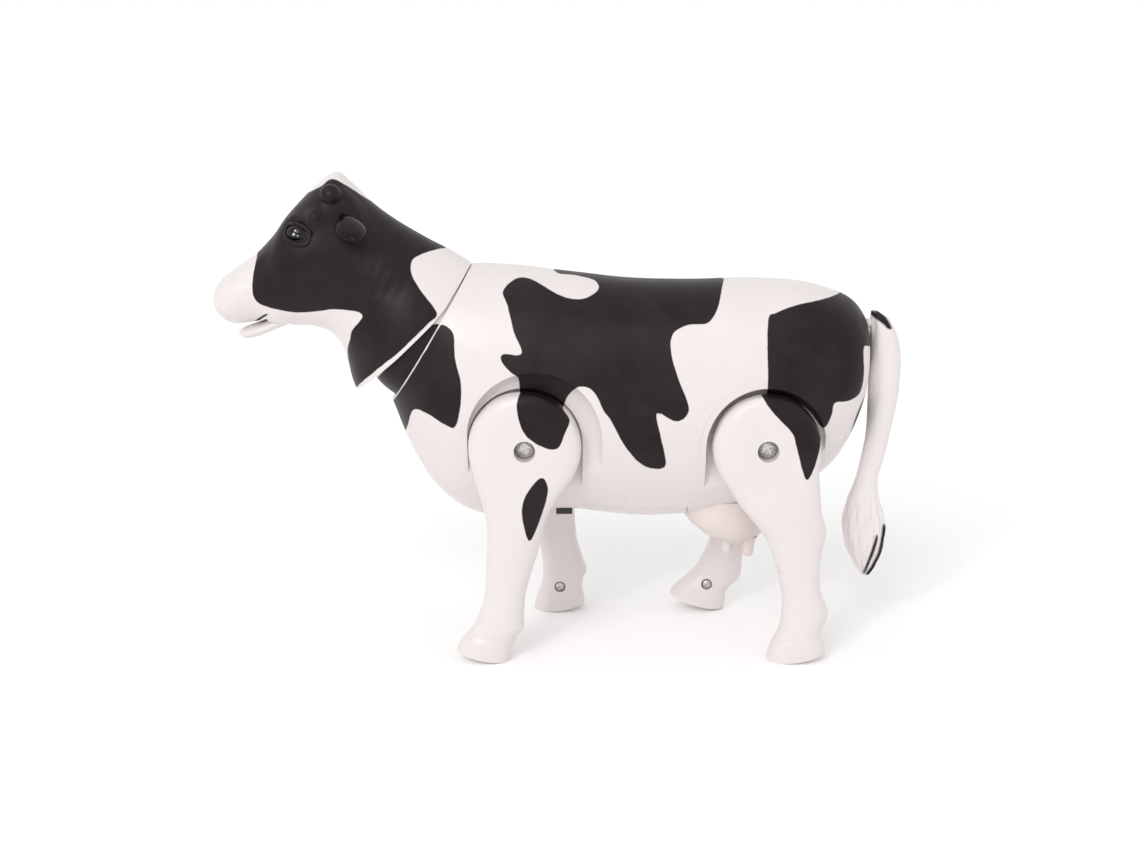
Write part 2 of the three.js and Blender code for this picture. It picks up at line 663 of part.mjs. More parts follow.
function legInner(leg, linkSide, crank) {
  let half = leg.intersect(block(-FAR, FAR, 0, LEG_MID_Y - GAP / 2, -2 * FAR, FAR));
  half = half.add(rod(LINK_PIN_R, LINK_INNER_Y - 0.2, LEG_INNER_Y + LEG_WALL, 0, linkSide * LINK_ARM, 8));
  if (!crank) return half;
  const halfSlot = CRANK_PIN_R + RUN;
  const reach = THROW + CRANK_PIN_R + 2 * RUN;
  const slot = roundedBox(-halfSlot, halfSlot, CRANK_RISE - reach, CRANK_RISE + reach, halfSlot - 0.05);
  return half.subtract(plate(slot, LEG_INNER_Y - 1, LEG_INNER_Y + LEG_WALL + 1, 2));
}

// Screws with a domed head and a plain shank. The head's underside is at y = 0.
function screw(headR, headH, shankR, length) {
  const points = [
    new THREE.Vector2(0, -length),
    new THREE.Vector2(shankR, -length),
    new THREE.Vector2(shankR, 0),
    new THREE.Vector2(headR, 0),
    new THREE.Vector2(headR, headH * 0.35),
    new THREE.Vector2(headR * 0.6, headH),
    new THREE.Vector2(0, headH),
  ];
  return solid(new THREE.LatheGeometry(points, 8));
}

// Side link, in a frame whose origin is the front leg's link pin

function sideLink(lead) {
  const span = REAR_HIP_X - FRONT_HIP_X + LINK_ARM * (Math.sin(SWING + lead) - Math.sin(SWING));
  const rise = LINK_ARM * (Math.cos(SWING) + Math.cos(SWING + lead));
  const y0 = LINK_INNER_Y;
  const y1 = LINK_INNER_Y + LINK_THICKNESS;
  const length = Math.hypot(span, rise);
  const bar = new THREE.BoxGeometry(length, LINK_THICKNESS, LINK_WIDTH);
  bar.translate(length / 2, (y0 + y1) / 2, 0).rotateY(-Math.atan2(rise, span));
  const eyes = [rod(LINK_EYE_R, y0, y1, 0, 0, 12), rod(LINK_EYE_R, y0, y1, span, rise, 12)];
  const link = joined([solid(bar), ...eyes]);
  const openBore = LINK_PIN_R + LINK_OPEN_CLEARANCE;
  const bores = [rod(LINK_PIN_R + RUN, 0, FAR, 0, 0, 8), rod(openBore, 0, FAR, span, rise, 8)];
  return link.subtract(joined(bores));
}

// Gear train

function pitchRadius(teeth) {
  return (GEAR_MODULE * teeth) / 2;
}

function stepFrom(centre, teethA, teethB, angle) {
  const distance = pitchRadius(teethA) + pitchRadius(teethB) + MESH_SLACK;
  return { x: centre.x + distance * Math.cos(angle), z: centre.z + distance * Math.sin(angle) };
}

// The phase that puts a gap of the second gear on a tooth of the first
function meshPhase(phase, teethA, teethB, angle) {
  return angle + Math.PI + Math.PI / teethB - ((phase - angle) * teethA) / teethB;
}

const CRANK = { x: FRONT_HIP_X, z: CRANK_RISE };
const SECOND = stepFrom(CRANK, CRANK_TEETH, SMALL_TEETH, SECOND_GEAR_ANGLE);
const FIRST = stepFrom(SECOND, BIG_TEETH, SMALL_TEETH, FIRST_GEAR_ANGLE);
const MOTOR = stepFrom(FIRST, BIG_TEETH, PINION_TEETH, MOTOR_ANGLE);
const SECOND_PHASE = meshPhase(0, CRANK_TEETH, SMALL_TEETH, SECOND_GEAR_ANGLE);
const FIRST_PHASE = meshPhase(SECOND_PHASE, BIG_TEETH, SMALL_TEETH, FIRST_GEAR_ANGLE);
const MOTOR_PHASE = meshPhase(FIRST_PHASE, BIG_TEETH, PINION_TEETH, MOTOR_ANGLE);

function gearShape(teeth, phase) {
  const pitch = (2 * Math.PI) / teeth;
  const tip = pitchRadius(teeth) + GEAR_MODULE;
  const root = pitchRadius(teeth) - 1.25 * GEAR_MODULE;
  const corners = [
    [root, -0.27],
    [tip, -0.11],
    [tip, 0.11],
    [root, 0.27],
  ];
  const points = [];
  for (let i = 0; i < teeth; i++) {
    for (const [r, share] of corners) {
      const angle = phase + pitch * (i + share);
      points.push(new THREE.Vector2(r * Math.cos(angle), r * Math.sin(angle)));
    }
  }
  return new THREE.Shape(points);
}

function gear(teeth, phase, y0, y1) {
  return plate(gearShape(teeth, phase), y0, y1);
}

const SMALL_Y = { crank: -GEAR_T / 2, second: 4, first: 8.6 };

function compoundGear(smallY0, bigY0, phase) {
  const body = joined([
    gear(SMALL_TEETH, phase, smallY0, bigY0),
    gear(BIG_TEETH, phase, bigY0, bigY0 + GEAR_T),
    rod(GEAR_HUB_R, -PLATE_INNER_Y + GAP, PLATE_INNER_Y - GAP, 0, 0, 10),
  ]);
  return body.subtract(rod(GEAR_PIN_R + RUN, -FAR, FAR, 0, 0, 8));
}

function motorPinion() {
  const teeth = gear(PINION_TEETH, MOTOR_PHASE, MOTOR_NOSE_Y + 0.8, PLATE_INNER_Y - 1.2);
  return teeth.subtract(rod(MOTOR_SHAFT_R + GAP, 0, FAR, 0, 0, 10));
}

// The wound core on its shaft
function motorRotor() {
  const middle = MOTOR_NOSE_Y - MOTOR_LENGTH / 2;
  const core = rod(ROTOR_R, middle - ROTOR_LENGTH / 2, middle + ROTOR_LENGTH / 2, 0, 0, 16);
  return core.add(rod(MOTOR_SHAFT_R, middle, PLATE_OUTER_Y - GAP, 0, 0, 10));
}

function crankGear() {
  const hub = rod(CRANK_HUB_R, -PLATE_INNER_Y + GAP, PLATE_INNER_Y - GAP, 0, 0, 12);
  const wheel = gear(CRANK_TEETH, 0, SMALL_Y.crank, SMALL_Y.crank + GEAR_T).add(hub);
  return wheel.subtract(rod(CRANK_SHAFT_R + GAP, -FAR, FAR, 0, 0, 10));
}

const CRANK_DISC_Y = WELL_FLOOR_Y - TORSO_WALL - 0.5;

function crankShaft() {
  const reach = CRANK_DISC_Y - 0.8;
  return rod(CRANK_SHAFT_R, -reach, reach, 0, 0, 12);
}

// The crank on the right-hand end. Its pin stops short of the leg's slot.
function crankArm() {
  const body = joined([
    rod(CRANK_HUB_R, PLATE_OUTER_Y + GAP, CRANK_DISC_Y - CRANK_DISC_T + 0.1, 0, 0, 10),
    rod(CRANK_DISC_R, CRANK_DISC_Y - CRANK_DISC_T, CRANK_DISC_Y, 0, 0, 14),
    rod(CRANK_PIN_R, CRANK_DISC_Y - 0.5, LEG_INNER_Y - GAP, -THROW, 0, 8),
  ]);
  return body.subtract(rod(CRANK_SHAFT_R + GAP, 0, CRANK_DISC_Y - 0.5, 0, 0, 10));
}

function plateHoles(motorHoleR) {
  return joined([
    rod(CRANK_SHAFT_R + GAP, -FAR, FAR, CRANK.x, CRANK.z, 8),
    rod(GEAR_PIN_R + GAP, -FAR, FAR, SECOND.x, SECOND.z, 8),
    rod(GEAR_PIN_R + GAP, -FAR, FAR, FIRST.x, FIRST.z, 8),
    rod(motorHoleR, -FAR, FAR, MOTOR.x, MOTOR.z, 16),
  ]);
}

function gearPlate(y0, y1, motorHoleR) {
  const outline = roundedBox(PLATE.x0, PLATE.x1, PLATE.z0, PLATE.z1, PLATE.corner);
  return plate(outline, y0, y1, 2).subtract(plateHoles(motorHoleR));
}

function leftGearPlate() {
  const spacers = PLATE_CORNERS.map(([x, z]) => rod(SPACER_R, -PLATE_INNER_Y - 0.5, PLATE_INNER_Y - GAP, x, z, 6));
  return joined([gearPlate(-PLATE_OUTER_Y, -PLATE_INNER_Y, MOTOR_R + GAP), ...spacers]);
}

function rightGearPlate() {
  return gearPlate(PLATE_INNER_Y, PLATE_OUTER_Y, MOTOR_SHAFT_R + RUN);
}

function motorCan() {
  const shape = (grow) => {
    const r = MOTOR_R + grow;
    const round = rod(r, MOTOR_NOSE_Y - MOTOR_LENGTH - grow, MOTOR_NOSE_Y + grow, 0, 0, 16);
    return round.intersect(block(-r, r, -FAR, FAR, -MOTOR_FLAT - grow, MOTOR_FLAT + grow));
  };
  const bore = rod(MOTOR_SHAFT_R + RUN, 0, FAR, 0, 0, 10);
  return shape(0).subtract(shape(-MOTOR_WALL)).subtract(bore);
}

function gearPin() {
  return rod(GEAR_PIN_R, -PLATE_OUTER_Y + GAP, PLATE_OUTER_Y - GAP, 0, 0, 10);
}

// Battery box, cells and switch

function batteryBox() {
  const outside = block(BOX_X0, BOX_X1, -BOX_HALF - BOX_WALL, BOX_HALF + BOX_WALL, -FAR, BOX_TOP + BOX_WALL);
  const inside = block(BOX_X0 + BOX_WALL, BOX_X1 - BOX_WALL, -BOX_HALF, BOX_HALF, -FAR, BOX_TOP);
  const floor = loft(TORSO, { ...torsoForm, inset: TORSO_WALL + GAP });
  return outside.intersect(floor).subtract(inside);
}

function cell() {
  const points = [
    new THREE.Vector2(0, 0),
    new THREE.Vector2(CELL_R, 0),
    new THREE.Vector2(CELL_R, CELL_LENGTH - 1.5),
    new THREE.Vector2(2.6, CELL_LENGTH - 1.5),
    new THREE.Vector2(2.6, CELL_LENGTH),
    new THREE.Vector2(0, CELL_LENGTH),
  ];
  return solid(new THREE.LatheGeometry(points, 12).rotateZ(-Math.PI / 2));
}

function contact() {
  return block(0, CONTACT_T, -CELL_PITCH + 1, CELL_PITCH - 1, -CONTACT_HEIGHT / 2, CONTACT_HEIGHT / 2);
}

const BELLY_Z = TORSO[8][3];
const FLANGE_Z = BELLY_Z + TORSO_WALL + 5 * GAP;
const FLANGE_T = 1.2;

function switchKnob() {
  const { x0, length, halfWidth, drop } = KNOB;
  const button = block(x0, x0 + length, -halfWidth, halfWidth, BELLY_Z - drop, FLANGE_Z + FLANGE_T);
  const flange = block(x0 - 1.2, x0 + length + 1, -2 * halfWidth, 2 * halfWidth, FLANGE_Z, FLANGE_Z + FLANGE_T);
  return button.add(flange);
}

function switchBody() {
  const x1 = BOX_X0 - GAP;
  const z0 = FLANGE_Z + FLANGE_T + GAP;
  return block(x1 - SWITCH.length, x1, -SWITCH.halfWidth, SWITCH.halfWidth, z0, z0 + SWITCH.height);
}

// Tail and udder

function tailPiece() {
  const { x0, z, r, flangeR, flangeT } = TAIL_PEG;
  const peg = rodX(r, x0 - 1, TAIL[1][0] + 3, 0, z, 8);
  const flange = rodX(flangeR, x0 - flangeT, x0, 0, z, 8);
  return joined([loft(TAIL, { around: 8, steps: 14 }), peg, flange]);
}

function udderPiece() {
  const bag = loft(UDDER, { around: 12, steps: 5 });
  const bottom = UDDER[5][1];
  const teats = [];
  for (const x of [TEAT.first, TEAT.first + TEAT.pitch]) {
    for (const side of [-1, 1]) {
      const teat = new THREE.CylinderGeometry(TEAT.r, TEAT.tipR, TEAT.length, 6).rotateX(Math.PI / 2);
      teats.push(solid(teat.translate(x, side * TEAT.spread, bottom - TEAT.length / 2 + 2.5)));
    }
  }
  return joined([bag, ...teats]).subtract(torsoClear);
}

// Finishes

function finish(color, roughness, metalness = 0) {
  return new THREE.MeshStandardMaterial({ color, roughness, metalness });
}

const WHITE_PLASTIC = finish(0xf3ecea, 0.34);
const BLACK_PLASTIC = finish(0x231f20, 0.38);
const UDDER_PLASTIC = finish(0xf0e0dc, 0.36);
const NYLON = finish(0xe8e6dc, 0.5);
const FRAME_PLASTIC = finish(0x8d9196, 0.5);
const ZINC = finish(0xb9b7b0, 0.32, 1);
const STEEL = finish(0xa9adb2, 0.28, 1);
const CELL_FILM = finish(0x4d6b57, 0.4);

// Scene graph

function piece(name, body, material, place = {}) {
  const mesh = new THREE.Mesh(geometryOf(body), material);
  mesh.name = name;
  mesh.position.set(place.x ?? 0, place.y ?? 0, place.z ?? 0);
  return mesh;
}

function mirrored(group, side) {
  group.scale.y = side;
  return group;
}

const cow = new THREE.Group();
const torso = new THREE.Group();
torso.position.z = HIP_Z;
cow.add(torso);

const SIDES = [
  { name: "left", side: -1 },
  { name: "right", side: 1 },
];

torso.add(piece("neck_collar", neckCollar(), WHITE_PLASTIC));
torso.add(piece("neck_pin", neckPin(), STEEL));
torso.add(piece("udder", udderPiece(), UDDER_PLASTIC));
torso.add(piece("tail", tailPiece(), WHITE_PLASTIC));
torso.add(piece("battery_door", batteryDoor(), WHITE_PLASTIC));
torso.add(piece("battery_box", batteryBox(), FRAME_PLASTIC));
torso.add(piece("contact_front", contact(), ZINC, { x: BOX_X0 + BOX_WALL + GAP, z: CELL_Z }));
torso.add(piece("contact_rear", contact(), ZINC, { x: CELL_X1 + GAP, z: CELL_Z }));
torso.add(piece("power_knob", switchKnob(), BLACK_PLASTIC));
torso.add(piece("switch_body", switchBody(), FRAME_PLASTIC));
torso.add(piece("gear_plate_left", leftGearPlate(), FRAME_PLASTIC));
torso.add(piece("gear_plate_right", rightGearPlate(), FRAME_PLASTIC));
torso.add(piece("motor_can", motorCan(), STEEL, MOTOR));
torso.add(piece("motor_rotor", motorRotor(), STEEL, MOTOR));
torso.add(piece("motor_pinion", motorPinion(), NYLON, MOTOR));
torso.add(piece("first_gear", compoundGear(3.6, SMALL_Y.first, FIRST_PHASE), NYLON, FIRST));
torso.add(piece("second_gear", compoundGear(-2, SMALL_Y.second, SECOND_PHASE), NYLON, SECOND));
torso.add(piece("first_gear_pin", gearPin(), STEEL, FIRST));
torso.add(piece("second_gear_pin", gearPin(), STEEL, SECOND));
torso.add(piece("crank_gear", crankGear(), NYLON, CRANK));
torso.add(piece("crank_shaft", crankShaft(), STEEL, CRANK));

const head = new THREE.Group();
head.position.set(NECK_X, 0, NECK_Z);
torso.add(head);
head.add(piece("neck_arm", neckArm(), NYLON));
head.add(piece("lower_jaw", lowerJaw(), WHITE_PLASTIC));
head.add(piece("jaw_pin", jawPin(), STEEL));

const legForms = {
  front: legBody(FRONT_LEG, FRONT_DISC_R),
  rear: legBody(REAR_LEG, REAR_DISC_R),
};

for (const { name, side } of SIDES) {
  const half = mirrored(new THREE.Group(), side);
  torso.add(half);
  half.add(piece("torso_" + name, torsoHalf(), WHITE_PLASTIC));
  half.add(piece("battery_" + name, cell(), CELL_FILM, { x: CELL_X0, y: CELL_PITCH / 2, z: CELL_Z }));

  const crank = new THREE.Group();
  crank.position.set(CRANK.x, 0, CRANK.z);
  crank.rotation.y = side < 0 ? Math.PI : 0;
  half.add(crank);
  crank.add(piece("crank_" + name, crankArm(), NYLON));

  const face = mirrored(new THREE.Group(), side);
  head.add(face);
  face.add(piece("head_" + name, headHalf(), WHITE_PLASTIC));
  face.add(piece("ear_" + name, ear(), BLACK_PLASTIC));

  for (const [place, hip, linkSide] of [["front", HIPS[0], -1], ["rear", HIPS[1], 1]]) {
    const forward = side * linkSide;
    const lead = place === "rear" && side > 0 ? REAR_LEAD : 0;
    const pivot = new THREE.Group();
    pivot.position.x = hip.x;
    half.add(pivot);
    const swing = new THREE.Group();
    swing.rotation.y = forward * SWING + lead;
    pivot.add(swing);
    const label = place + "_" + name;
    swing.add(piece(label + "_leg_outer", legOuter(legForms[place]), WHITE_PLASTIC));
    swing.add(piece(label + "_leg_inner", legInner(legForms[place], linkSide, hip.crank), WHITE_PLASTIC));
    const footScrew = screw(FOOT_SCREW_HEAD_R, FOOT_SCREW_HEAD_H, FOOT_SCREW_R, FOOT_SCREW_LENGTH);
    const foot = new THREE.Group();
    foot.position.set(0, LEG_INNER_Y + 1.1 + FOOT_SCREW_HEAD_H - GAP, -FOOT_SCREW_DROP);
    foot.rotation.x = Math.PI;
    swing.add(foot);
    foot.add(piece(label + "_foot_screw", footScrew, ZINC));
    const hipScrew = screw(HIP_SCREW_HEAD_R, HIP_SCREW_HEAD_H, HIP_SCREW_R, HIP_SCREW_LENGTH);
    pivot.add(piece(label + "_hip_screw", hipScrew, ZINC, { y: HIP_SEAT_Y + 0.1 + GAP }));
  }

  const link = new THREE.Group();
  const pinShift = side * LINK_ARM * Math.sin(SWING);
  link.position.set(FRONT_HIP_X + pinShift, 0, -LINK_ARM * Math.cos(SWING));
  half.add(link);
  link.add(piece("link_" + name, sideLink(side > 0 ? REAR_LEAD : 0), NYLON));
}

export default cow;
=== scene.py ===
"""Looks for a walking toy cow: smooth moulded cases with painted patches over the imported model.

Tables and forms are in millimetres until they become meshes. X runs from nose (-X) to tail, Y from the cow's
left (-Y) to its right, Z is up. The torso's own frame has z = 0 at the hips. Paired pieces are made on the
right side and mirrored.
"""

import math
from collections import namedtuple

import bmesh
import bpy
import numpy as np
from mathutils import Matrix, Vector
from mathutils.bvhtree import BVHTree


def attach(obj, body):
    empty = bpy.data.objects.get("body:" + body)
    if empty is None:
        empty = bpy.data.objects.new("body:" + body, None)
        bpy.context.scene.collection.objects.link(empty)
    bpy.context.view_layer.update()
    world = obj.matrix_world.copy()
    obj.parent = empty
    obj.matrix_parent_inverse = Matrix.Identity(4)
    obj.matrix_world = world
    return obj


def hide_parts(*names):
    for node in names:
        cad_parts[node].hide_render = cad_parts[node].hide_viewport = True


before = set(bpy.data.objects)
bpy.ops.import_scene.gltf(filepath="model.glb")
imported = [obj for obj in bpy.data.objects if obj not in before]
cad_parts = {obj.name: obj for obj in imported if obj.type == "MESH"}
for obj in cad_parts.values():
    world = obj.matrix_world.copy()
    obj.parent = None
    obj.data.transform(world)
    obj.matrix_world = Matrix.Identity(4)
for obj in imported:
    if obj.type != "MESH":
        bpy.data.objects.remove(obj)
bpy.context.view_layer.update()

MM = 0.001
FAR = 90.0

# Fits, walls and edges

GAP = 0.3
RUN = 0.35
SUNK = 0.4
TORSO_WALL = 2.2
HEAD_WALL = 2.0
LEG_WALL = 2.2
# Width of the unpainted rim at the torso's front seam: a white line that is partly the bare plastic edge and
# partly a painted highlight on the seam's edge.
BARE_EDGE_HIGHLIGHT = 0.45
SHARP_EDGE = math.radians(38)

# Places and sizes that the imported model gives

SWING = math.radians(10)
REAR_LEAD = math.radians(4)
LEG_LENGTH = 93
SOLE_RADIUS = 70
HIP_Z = (LEG_LENGTH - SOLE_RADIUS) * math.cos(SWING) + SOLE_RADIUS
HIP_POST_R = 3.2
HIP_SCREW_SINK = 6.2
FOOT_SCREW_DROP = 82
WELL_FLOOR = 24.0
RING_FLOOR = 28.5
LEG_INNER = 24.6
LEG_OUTER = 41.2
LEG_MIDDLE = (LEG_INNER + LEG_OUTER) / 2
LINK_ARM = 12
LINK_PIN_R = 1.5
LINK_SLOT_R = 2.2
CRANK_LIFT = 14
CRANK_REACH = CRANK_LIFT * math.tan(SWING) + 1.9
NECK = (-53.2, 41.4)
NECK_TILT = math.atan2(0.531, 0.848)
NECK_R = 30.8
NECK_HALF = 24.7
JAW_PIN = (-56.5, 8.8)
JAW_TURN = math.radians(-9)
TAIL_PEG_Z = 45.5
TAIL_SEAT_X = 121.3
BELLY_CUT = -22.4
BATTERY_OPENING = (9.2, 54.8, -13.3, 13.3)
BATTERY_LID = (9.5, 54.5, -13, 13)
KNOB_SLOT = (-4.15, 6.05, -2.35, 2.35)

# Camera

VIEW_TILT = math.radians(14.4)
VIEW_BACK = np.array([0, -math.cos(VIEW_TILT), math.sin(VIEW_TILT)])
VIEW_RISE = np.array([0, math.sin(VIEW_TILT), math.cos(VIEW_TILT)])
VIEW_TARGET = np.array([4.7, 0.0, 92.5])
VIEW_DISTANCE = 900.0
VIEW_WIDTH = 488.3
FILM_WIDTH = 36.0

# Sections of the moulded forms: front or top x, z, back or bottom x, z, half width. Two more may follow, the
# centre's y and the squareness to add.

TORSO = [
    (130.6, 42, 131, 22, 9), (129.6, 47.5, 128.4, 9.3, 18), (124.5, 54, 123.2, -4.4, 25.2),
    (115, 59.5, 115.8, -16, 30.2), (101, 63.4, 102, -26.4, 33.5), (80, 64.6, 80, -34.5, 35.3),
    (55, 64, 56, -37.4, 36), (30, 64.6, 28, -37.2, 36), (8, 67, 3, -36.6, 35.6),
    (-10, 69, -20, -37.8, 34.9), (-22, 70, -36, -37, 33.5), (-30, 70.6, -50.8, -26.8, 31.7),
    (-34.5, 70.8, -62.5, -8.5, 29.5), (-37, 70.3, -71, 12.8, 27),
]
HEAD = [
    (17.2, 29.4, -24.8, -38, 27), (7.2, 35.5, -32.9, -23.7, 25.8), (-1.8, 40.2, -36.3, -12, 23.5),
    (-14.4, 47.7, -38.3, -5, 21.5), (-24.2, 55, -42.8, 0.5, 20.4), (-33.2, 63.8, -48.8, 2.8, 20),
    (-39, 67.8, -54.8, 3.5, 19.6), (-45.2, 64.6, -60.8, 3.2, 19.2), (-52.8, 58, -65.8, 3, 18),
    (-60.3, 50.5, -69.8, 4.5, 16), (-66.3, 41.5, -73.8, 5.2, 14.2), (-73.8, 33.7, -77.8, 4.8, 13),
    (-81.8, 28, -82.3, 4.2, 12.6), (-87.8, 23.5, -86.6, 5.5, 11.4), (-91, 19.5, -90.2, 9.2, 8),
    (-91.8, 16.3, -91.7, 13.2, 3),
]
JAW = [
    (-54, 11.2, -53.2, 6.4, 7.4), (-60.8, 9.2, -59.8, 4.4, 7.4), (-67.8, 6.8, -66.4, 1.6, 7.2),
    (-73.8, 4.6, -72.8, -1, 6.8), (-79.6, 2.5, -78.6, -2.2, 5.8), (-81.5, 1.2, -81, -1, 3.2),
    (-82.1, 0.4, -82, -0.3, 1),
]
FRONT_LEG = [
    (-19, -15, 18.8, -15, 8.3, 0, 1.5), (-14.8, -24, 15, -24, 8, 0.1, 0.9),
    (-10.8, -33, 13.8, -33, 7.4, 0.2, 0.3), (-8.4, -44, 13, -44, 6.9, 0), (-7.2, -54, 11.8, -54, 6.6, 0),
    (-6, -63, 11, -63, 6.5, 0), (-6, -70, 11.4, -70, 6.7, 0), (-7, -77, 12.4, -77, 7.2, 0),
    (-8.6, -81.5, 10.6, -81.5, 7.2, 0), (-11.2, -86, 9.6, -86, 7.8, 0), (-13.4, -91, 9.6, -90, 8.2, 0),
    (-13.4, -96, 9.4, -96, 8.2, 0),
]
REAR_LEG = [
    (-18.4, -14, 19.6, -14, 8.3, 0, 1.5), (-15, -22.5, 18.9, -22.5, 8.1, 0.1, 1),
    (-9.6, -32, 18.2, -32, 7.4, 0.2, 0.4), (-6.2, -40, 19, -40, 6.9, 0), (-4.6, -47, 16.4, -47, 6.6, 0),
    (-3.6, -56, 14, -56, 6.4, 0), (-3.6, -66, 12.6, -66, 6.5, 0), (-5.4, -75, 14.4, -75, 7, 0),
    (-7.6, -80, 12, -80, 7.2, 0), (-11.6, -85.5, 10.2, -85, 7.8, 0), (-14.4, -91, 10.8, -90, 8.2, 0),
    (-14.4, -96, 10.4, -96, 8.2, 0),
]
TAIL = [
    (131.9, 50.6, 135, 50.4, 2.2), (131.7, 46, 140.8, 45.4, 4.8), (131.7, 35, 144.8, 34, 5.8),
    (131.7, 16, 144.8, 16, 5.8), (131.5, -1, 142, -1, 5.2), (130, -12, 140, -12, 4.6),
    (127.5, -23.5, 137.4, -22, 4.6), (124.3, -33, 138, -31, 5.6), (122.9, -43, 141, -43, 7),
    (124.3, -52, 140.4, -52, 6.4), (128.2, -60.5, 138, -60.5, 4.2), (132.4, -66, 134.6, -66, 1.4),
]
UDDER = [
    (55, -30, 90, -30, 14), (53.5, -37, 91, -35.5, 14.8), (58.5, -43, 90, -41.5, 14.2),
    (64, -47.2, 87.5, -46.2, 11.8), (70.5, -49.8, 83.5, -49.2, 7.6), (75, -50.4, 80, -50.3, 3),
]
HEAD_REAR_EDGE = [
    (46.2, 70.2), (15.5, 28.7), (6.4, 14.4), (1.3, 8.6), (-13.8, -6.3), (-32.9, -23.7), (-52.9, -41.7),
    (60, -60),
]
MOUTH = [(-90, 1.4), (-84, 2.7), (-78, 4.2), (-73, 6.1), (-69.4, 7.9), (-68, 4), (-80, -10)]
EYE = (-54.0, 44.4)
EYE_TILT = math.radians(12)
EYE_CREASE = [(-58.4, 47.6), (-57.7, 49), (-55.2, 49.6), (-52.8, 48.9), (-51.1, 47.5), (-48.3, 45.3)]
BROW_FOLD = [(-57.4, 50.4), (-55.1, 51.2), (-52.3, 50.6)]
EAR_CREST = [(-35.5, 59.9), (-32.4, 56.2), (-28.3, 50.1)]
HORN = (-40.4, 11.3, 59.8)
EAR = (-34.4, 17.5, 50)

# Outlines of the painted patches, and of the painted shade and painted highlights, as they lie in a plane
# that faces the camera.

HEAD_PATCH = [
    (-102, 106.4), (-106.6, 103.4), (-110.9, 101.2), (-114.8, 100), (-119.5, 97), (-126, 91.5),
    (-131.5, 83.5), (-133.4, 77.6), (-134.2, 72.5), (-135.6, 66.1), (-136.1, 60.5), (-135.6, 56.5),
    (-133.8, 53.6), (-129.9, 51.7), (-125.7, 50.6), (-116.9, 49.2), (-107.1, 49.9), (-101.5, 50.6),
    (-94.5, 50.2), (-90.6, 49.4), (-89, 47.6), (-90.4, 45.2), (-93.2, 41.8), (-94.2, 38.1), (-95.3, 31.9),
    (-93.6, 22), (-94, 12), (-91.3, 17.4), (-80.7, 26.4), (-74.2, 31.4), (-67.1, 38.2), (-60.6, 44.6),
    (-57, 49), (-63.4, 58), (-67.7, 65.3), (-67.7, 71.3), (-63.4, 74.3), (-56.1, 76.5), (-50.5, 77.3),
    (-46, 79.5), (-54, 86), (-64, 90.5), (-71, 92), (-75.5, 92.6), (-79.5, 94), (-83, 95.8), (-88.5, 99),
    (-95.9, 103.8),
]
# A black dot of painted shade at the corner of the mouth, where the mouth slit lies in shadow.
MOUTH_CORNER_SHADE = [(-134.6, 44.4), (-132.6, 46.2), (-129.6, 48.3), (-130.6, 48.5), (-133, 47.2), (-135, 45.4)]
# Light dots of painted highlight on the eyeballs, standing in for the lamp reflections.
EYE_PAINTED_HIGHLIGHTS = [
    [(-118.9, 82.9), (-118.3, 83.3), (-117.8, 82.9), (-118.1, 82.2), (-118.7, 82.2)],
    [(-118.1, 84.5), (-117.6, 84.6), (-117.3, 84.2), (-117.8, 83.9)],
    [(-117, 82.3), (-116.5, 82.4), (-116.4, 81.9), (-116.9, 81.8)],
]
SHOULDER_PATCH = [
    (-59.5, 43.9), (-50.5, 41.3), (-49.3, 29.8), (-46.7, 18.6), (-47.1, 7.9), (-49.3, 0.2), (-53.5, 1.1),
    (-66.4, 7.9), (-71.1, -1.9), (-81.4, 1.1), (-87.8, 11.8), (-81.4, 22.5), (-70.7, 33.2),
]
BODY_PATCH = [
    (-28.7, 58.5), (-22.7, 64), (-15.8, 63.2), (-4.7, 56.8), (4.7, 55), (12, 58.9), (10.3, 63.2),
    (2.1, 65.3), (-6.9, 67.5), (-4.3, 80.3), (30, 84.6), (70.7, 84.6), (66, 64), (63.4, 51.6), (59.1, 44.8),
    (50.5, 43.9), (44.1, 40.1), (43.3, 32.3), (46.3, 21.2), (51, 7.9), (45.8, 2.4), (37.3, 6.2), (39, -4.5),
    (41.1, -15.6), (37.3, -17.8), (30.4, -15.6), (23.6, -8.2), (17.6, 2.8), (14.4, 7), (12, 12.4),
    (9.4, 16), (5.6, 17.5), (2.2, 16.6), (-1.5, 12.5), (-4.2, 6), (-12, 3), (-20.6, 5), (-21.4, 13.7),
    (-22, 20.8), (-25.2, 23.4), (-29.4, 28.4), (-28.7, 31.5), (-20.6, 31.5), (-24, 40.5), (-26.6, 51.6),
]
TAIL_SIDE_PATCH = [
    (127.2, 14.6), (125, 11), (123, 6.2), (121.3, 1.2), (119.8, -3), (117.2, -8.6), (118, -9.4),
    (121, -4.8), (123.4, -0.6), (125.4, 4.6), (127, 9.6),
]
RUMP_PATCH = [
    (84.8, 18.2), (84.8, 45.2), (88.2, 49), (97.2, 52.5), (108.4, 55), (116.1, 58.5), (121.7, 67.5),
    (130.7, 65.3), (141.4, 54.6), (132.8, 37.5), (128.5, 34.9), (125.9, 34.1), (125.9, 22.5), (124.2, 14.8),
    (119.5, 11.4), (113.5, 10.5), (112.2, 5.8), (110.6, 1.9), (108, 0), (103, 6.5), (97, 11), (90, 13),
    (84.2, 13.5),
]
FRONT_LEG_PATCHES = [
    [(-21.6, 14.5), (-22.8, 8.7), (-21.4, 1.1), (-18.4, -4.4), (-14, -7.4), (-9.1, -9.3), (-5.3, -9),
     (-3.4, -6), (-2.3, -2.7), (-0.2, 2.2), (-0.8, 4.8), (-3, 8.4), (-2, 16), (-6, 24), (-18, 24)],
    [(-11.6, -21.6), (-9.4, -27.2), (-12.4, -38.3), (-17.1, -48.6), (-19.7, -42.6), (-20.6, -35.8),
     (-19.3, -29.8), (-15.4, -24.2)],
]
